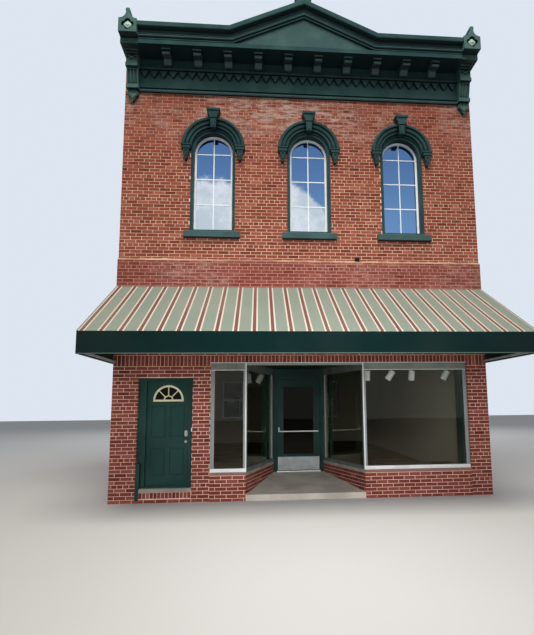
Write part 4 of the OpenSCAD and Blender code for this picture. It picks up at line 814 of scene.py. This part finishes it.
TRIM = (
    ("shopfront_caps", caps, bright_aluminium),
    # Grey-green boards over the windows' heads, darkened as painted shade under the awning
    ("window_head_boards", heads, shaded_head_paint),
    ("recess_head_channel", (-CORNER - 6, WINDOW_FACE, SHOP_HEAD - 52, CORNER + 6, WINDOW_FACE + 56, HEAD),
     dull_aluminium),
    ("display_side_boards", side_boards, door_paint),
    ("entry_threshold_nosing", (-492, DOOR_PLANE - 22, 281, 492, DOOR_PLANE - 1, 303), bright_aluminium),
    ("push_bar_upstand", [(-456, DOOR_PLANE - 10, 1166, -434, DOOR_PLANE, 1262),
                          (-454, DOOR_PLANE - 34, 1232, -436, DOOR_PLANE - 9, 1250)],
     bright_aluminium, "entry_door"),
    ("side_door_sill", (SIDE_DOOR_LEFT + 72, STORE_FACE - 8, 190, SIDE_DOOR_RIGHT - 2, 27, 258), cement,
     "building", 6),
    ("door_bell", [(-2182, 17, 1286, -2161, 28, 1356), (-2177, 12, 1326, -2166, 18, 1338)], white_vinyl),
    ("wall_vent", [(1040, -62, 4652, 1132, -1, 4716), (1058, -78, 4664, 1114, -61, 4704)], black_iron,
     "building", 5),
    ("side_door_plinth_foot", (SIDE_DOOR_LEFT + 1, STORE_FACE - 9, ROWLOCK_BOTTOM - 40, SIDE_DOOR_LEFT + 70,
                               STORE_FACE, SIDE_DOOR_STEP + 1), door_paint),
)
for row in TRIM:
    bars(*row)
print("trim pieces", len(TRIM))

# %% [markdown]
# A rosette fills each quatrefoil at the ends of the cornice: a table of radii and depths towards the street,
# swept round to a shallow dome with a button at its middle. The rim is drawn in between four petals.

# %% Rosettes of the end blocks
PROFILE = np.array([(82, 0), (80, 8), (64, 17), (40, 12), (34, 21), (16, 28), (0, 30)], float)
ROSETTE_X, ROSETTE_SEAT, ROSETTE_Z = 3475, -704, 9160
AROUND, PETALS, NOTCH = 32, 4, 0.2

# The rim's reach at an angle is 1 - NOTCH |sin(PETALS angle / 2)| ^ 0.7
angle = np.linspace(0, 2 * math.pi, AROUND, endpoint=False)
reach = 1 - NOTCH * np.abs(np.sin(PETALS * angle / 2)) ** 0.7
ring = zipped(np.cos(angle) * reach, 0, np.sin(angle) * reach)
rims = PROFILE[:-1, :1, None] * ring - PROFILE[:-1, 1:, None] * (0, 1, 0)
dome = np.concatenate((rims.reshape(-1, 3), [(0, -PROFILE[-1, 1], 0), (0, 0, 0)]))
here, last, tip, back = np.arange(AROUND), AROUND * (len(PROFILE) - 2), len(dome) - 2, len(dome) - 1
after = np.roll(here, -1)
tables = [swept(len(PROFILE) - 1, AROUND)[0], zipped(after + last, tip, here + last),
          zipped(here, back, after)]
piece("rosettes", [dome + (side * ROSETTE_X, ROSETTE_SEAT, ROSETTE_Z) for side in (-1, 1)],
      [repeated(table, 2, len(dome)) for table in tables], mint_paint, smooth=True)
print("rosette corners", len(dome))

# %% [markdown]
# The awning's cloth is one continuous sheet. It leaves the wall bar, lies over eight rafters, turns over the
# front bar and hangs as the flap. Between rafters it dips a few millimetres.

# %% Awning cover
AWNING_BACK, AWNING_FRONT = np.array((STORE_FACE, 4080)), np.array((-2187, 2920))
RAFTERS, SAG, UNDER = 8, 6.0, 3.0
SLOPE_ROWS, TURN_STEPS, FLAP_ROWS, COLUMNS_PER_RAFTER, CLOTH_MM = 41, 6, 14, 14, 1.2
FLAP_Y, FLAP_TOP = -2184, 2906


def cloth(name, table, finish, side=-1):
    """A cloth from a table (rows, columns, 3) of its points. side = 1 turns its faces over."""
    rows, columns = table.shape[:2]
    k = (np.arange(rows - 1)[:, None] * columns + np.arange(columns - 1)).ravel()
    faces = zipped(k, k + columns, k + columns + 1, k + 1)[:, ::-side]
    made = piece(name, table, [faces], finish, smooth=True)
    solid = made.modifiers.new("cloth_thickness", "SOLIDIFY")
    solid.thickness, solid.offset = CLOTH_MM / 1000, -1
    return made


slope_run = AWNING_FRONT - AWNING_BACK
slope = slope_run / np.linalg.norm(slope_run)
down = np.array((-slope[1], slope[0]))
across = np.linspace(-HALF_WIDTH + 1, HALF_WIDTH - 1, RAFTERS * COLUMNS_PER_RAFTER + 1)
bay = np.abs(np.sin(np.pi * (RAFTERS - 1) * (across + HALF_WIDTH) / (2 * HALF_WIDTH)))
travel = np.linspace(0, 1, SLOPE_ROWS)[:, None]
dip = UNDER + SAG * np.sin(np.pi * travel) * bay ** 2
top_yz = (AWNING_BACK + slope * 2 + travel * (slope_run - slope * 10))[:, None] + dip[..., None] * down
bend = np.linspace(0, 1, TURN_STEPS + 1)[1:, None, None]
knuckle, flap_top = np.array((FLAP_Y, FLAP_TOP + 10)), np.array((FLAP_Y, FLAP_TOP - 6))
turn_yz = (1 - bend) ** 2 * top_yz[-1] + 2 * bend * (1 - bend) * knuckle + bend ** 2 * flap_top
hang = np.linspace(0, 1, FLAP_ROWS + 1)[1:, None]
ripple = 2.2 * np.sin(across / 190) * np.sin(across / 610 + 1)
flap_yz = zipped(FLAP_Y + hang * (0.8 * ripple + 2), FLAP_TOP - 6 + hang * (HEM_LEVEL + 7 - FLAP_TOP))
sheet_yz = np.concatenate((top_yz, turn_yz, flap_yz))
rows, columns = sheet_yz.shape[:2]
cover = cloth("awning_cover", np.insert(sheet_yz, 0, across, axis=-1), striped_canvas)
cover.data.materials.append(green_canvas)
flap_row = SLOPE_ROWS + TURN_STEPS // 2
is_flap = np.repeat(np.arange(rows - 1) >= flap_row, columns - 1)
cover.data.polygons.foreach_set("material_index", is_flap.astype(np.int32))
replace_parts(cover, "awning_canvas", "awning_valance")

# %% [markdown]
# Two side sheets fill the awning's open ends, from the wall to the flap. Each is cut to that shape and hangs
# a little slack, so it swells inwards at its middle.

# %% Awning ends
WING_TOP_BACK, WING_FRONT_TOP, WING_FRONT, WING_SWELL = 4060, 2909, -2176, 7


def wing(name, side):
    """A side sheet at side = -1 or 1: points from the wall to the front and from the hem to the slope."""
    s, t = np.meshgrid(np.linspace(0, 1, 25), np.linspace(0, 1, 17), indexing="ij")
    top = WING_TOP_BACK + s * (WING_FRONT_TOP - WING_TOP_BACK)
    x = side * (HALF_WIDTH - 2.5 - WING_SWELL * np.sin(np.pi * s) * np.sin(np.pi * t))
    y = STORE_FACE - 2 + s * (WING_FRONT - STORE_FACE + 2)
    made = cloth(name, zipped(x, y, HEM_LEVEL + 1 + t * (top - HEM_LEVEL - 1)), green_canvas, side)
    return made


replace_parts(wing("awning_end_left", -1), "awning_wings")
wing("awning_end_right", 1)
print("awning ends", round(WING_TOP_BACK - HEM_LEVEL), "mm high at the wall")

# %% [markdown]
# The light is a clear but soft day in the studio: one large lamp high in front for the shapes, one low fill
# that reaches under the awning, one behind the building, and a pale floor. The background is bright only
# where the camera or a reflection sees it, so that it doesn't wash out the shapes.

# %% Floor, lamps and sky
bpy.context.scene.view_settings.view_transform = "Standard"
FLOOR_HALF = 60
ground_mesh = bpy.data.meshes.new("ground")
ground_mesh.from_pydata([(-FLOOR_HALF, -FLOOR_HALF, 0), (FLOOR_HALF, -FLOOR_HALF, 0),
                         (FLOOR_HALF, FLOOR_HALF, 0), (-FLOOR_HALF, FLOOR_HALF, 0)], [], [(0, 1, 2, 3)])
ground = linked("ground", ground_mesh)
material, shader, place = started("pale_studio_floor")
cast = result("mix", result("noise", place, BLOTCH / 2500, 3, 0.55), "#cfcfcb", "#c6c6c2")
feed(shader, (("Base Color", cast), ("Roughness", 0.9)))
ground_mesh.materials.append(material)

world = bpy.data.worlds.new("soft_day")
bpy.context.scene.world = world
world.use_nodes = True
world.node_tree.nodes.clear()
ray = add(world.node_tree, "LightPath").outputs
seen = result("MAXIMUM", result("MAXIMUM", ray["Is Camera Ray"], ray["Is Glossy Ray"]),
              ray["Is Transmission Ray"])
glow, sky = (add(seen, "Background", (("Color", colour), ("Strength", strength))).outputs[0]
             for colour, strength in (("#e9eef6", 0.3), ("#dde6f0", 1.0)))
both = add(seen, "MixShader", ((0, seen), (1, glow), (2, sky)))
add(seen, "OutputWorld", ((0, both.outputs[0]),))


def soft_lamp(name, place, aim, size, watts, colour, spread_degrees=180):
    """An area lamp of size metres at place, turned to aim, that reflections leave out. Both are points of the
    front's drawing. spread is the angle that a grid in front of the lamp lets through."""
    light = bpy.data.lights.new(name, "AREA")
    light.shape, light.size, light.energy, light.color = "SQUARE", size, watts, linear(colour)[:3]
    light.spread = math.radians(spread_degrees)
    back = in_row(place) - in_row(aim)
    back /= np.linalg.norm(back)
    side = np.cross((0, 0, 1), back)
    side /= np.linalg.norm(side)
    lamp = placed(linked(name, light), place, (side, np.cross(back, side), back))
    lamp.visible_glossy = False
    return lamp


key = soft_lamp("key_high", (-1500, -9000, 19000), (0, 0, 4800), 11, 3350, "#fff8f0")
fill = soft_lamp("fill_street", (0, -8500, 3000), (0, 0, 1300), 4, 128, "#f8f8ff", 75)
yard = soft_lamp("fill_yard", (3000, 27000, 13000), (0, 11000, 3500), 9, 2200, "#f2f5ff")
print("lamps", [lamp.data.energy for lamp in (key, fill, yard)], "watts")
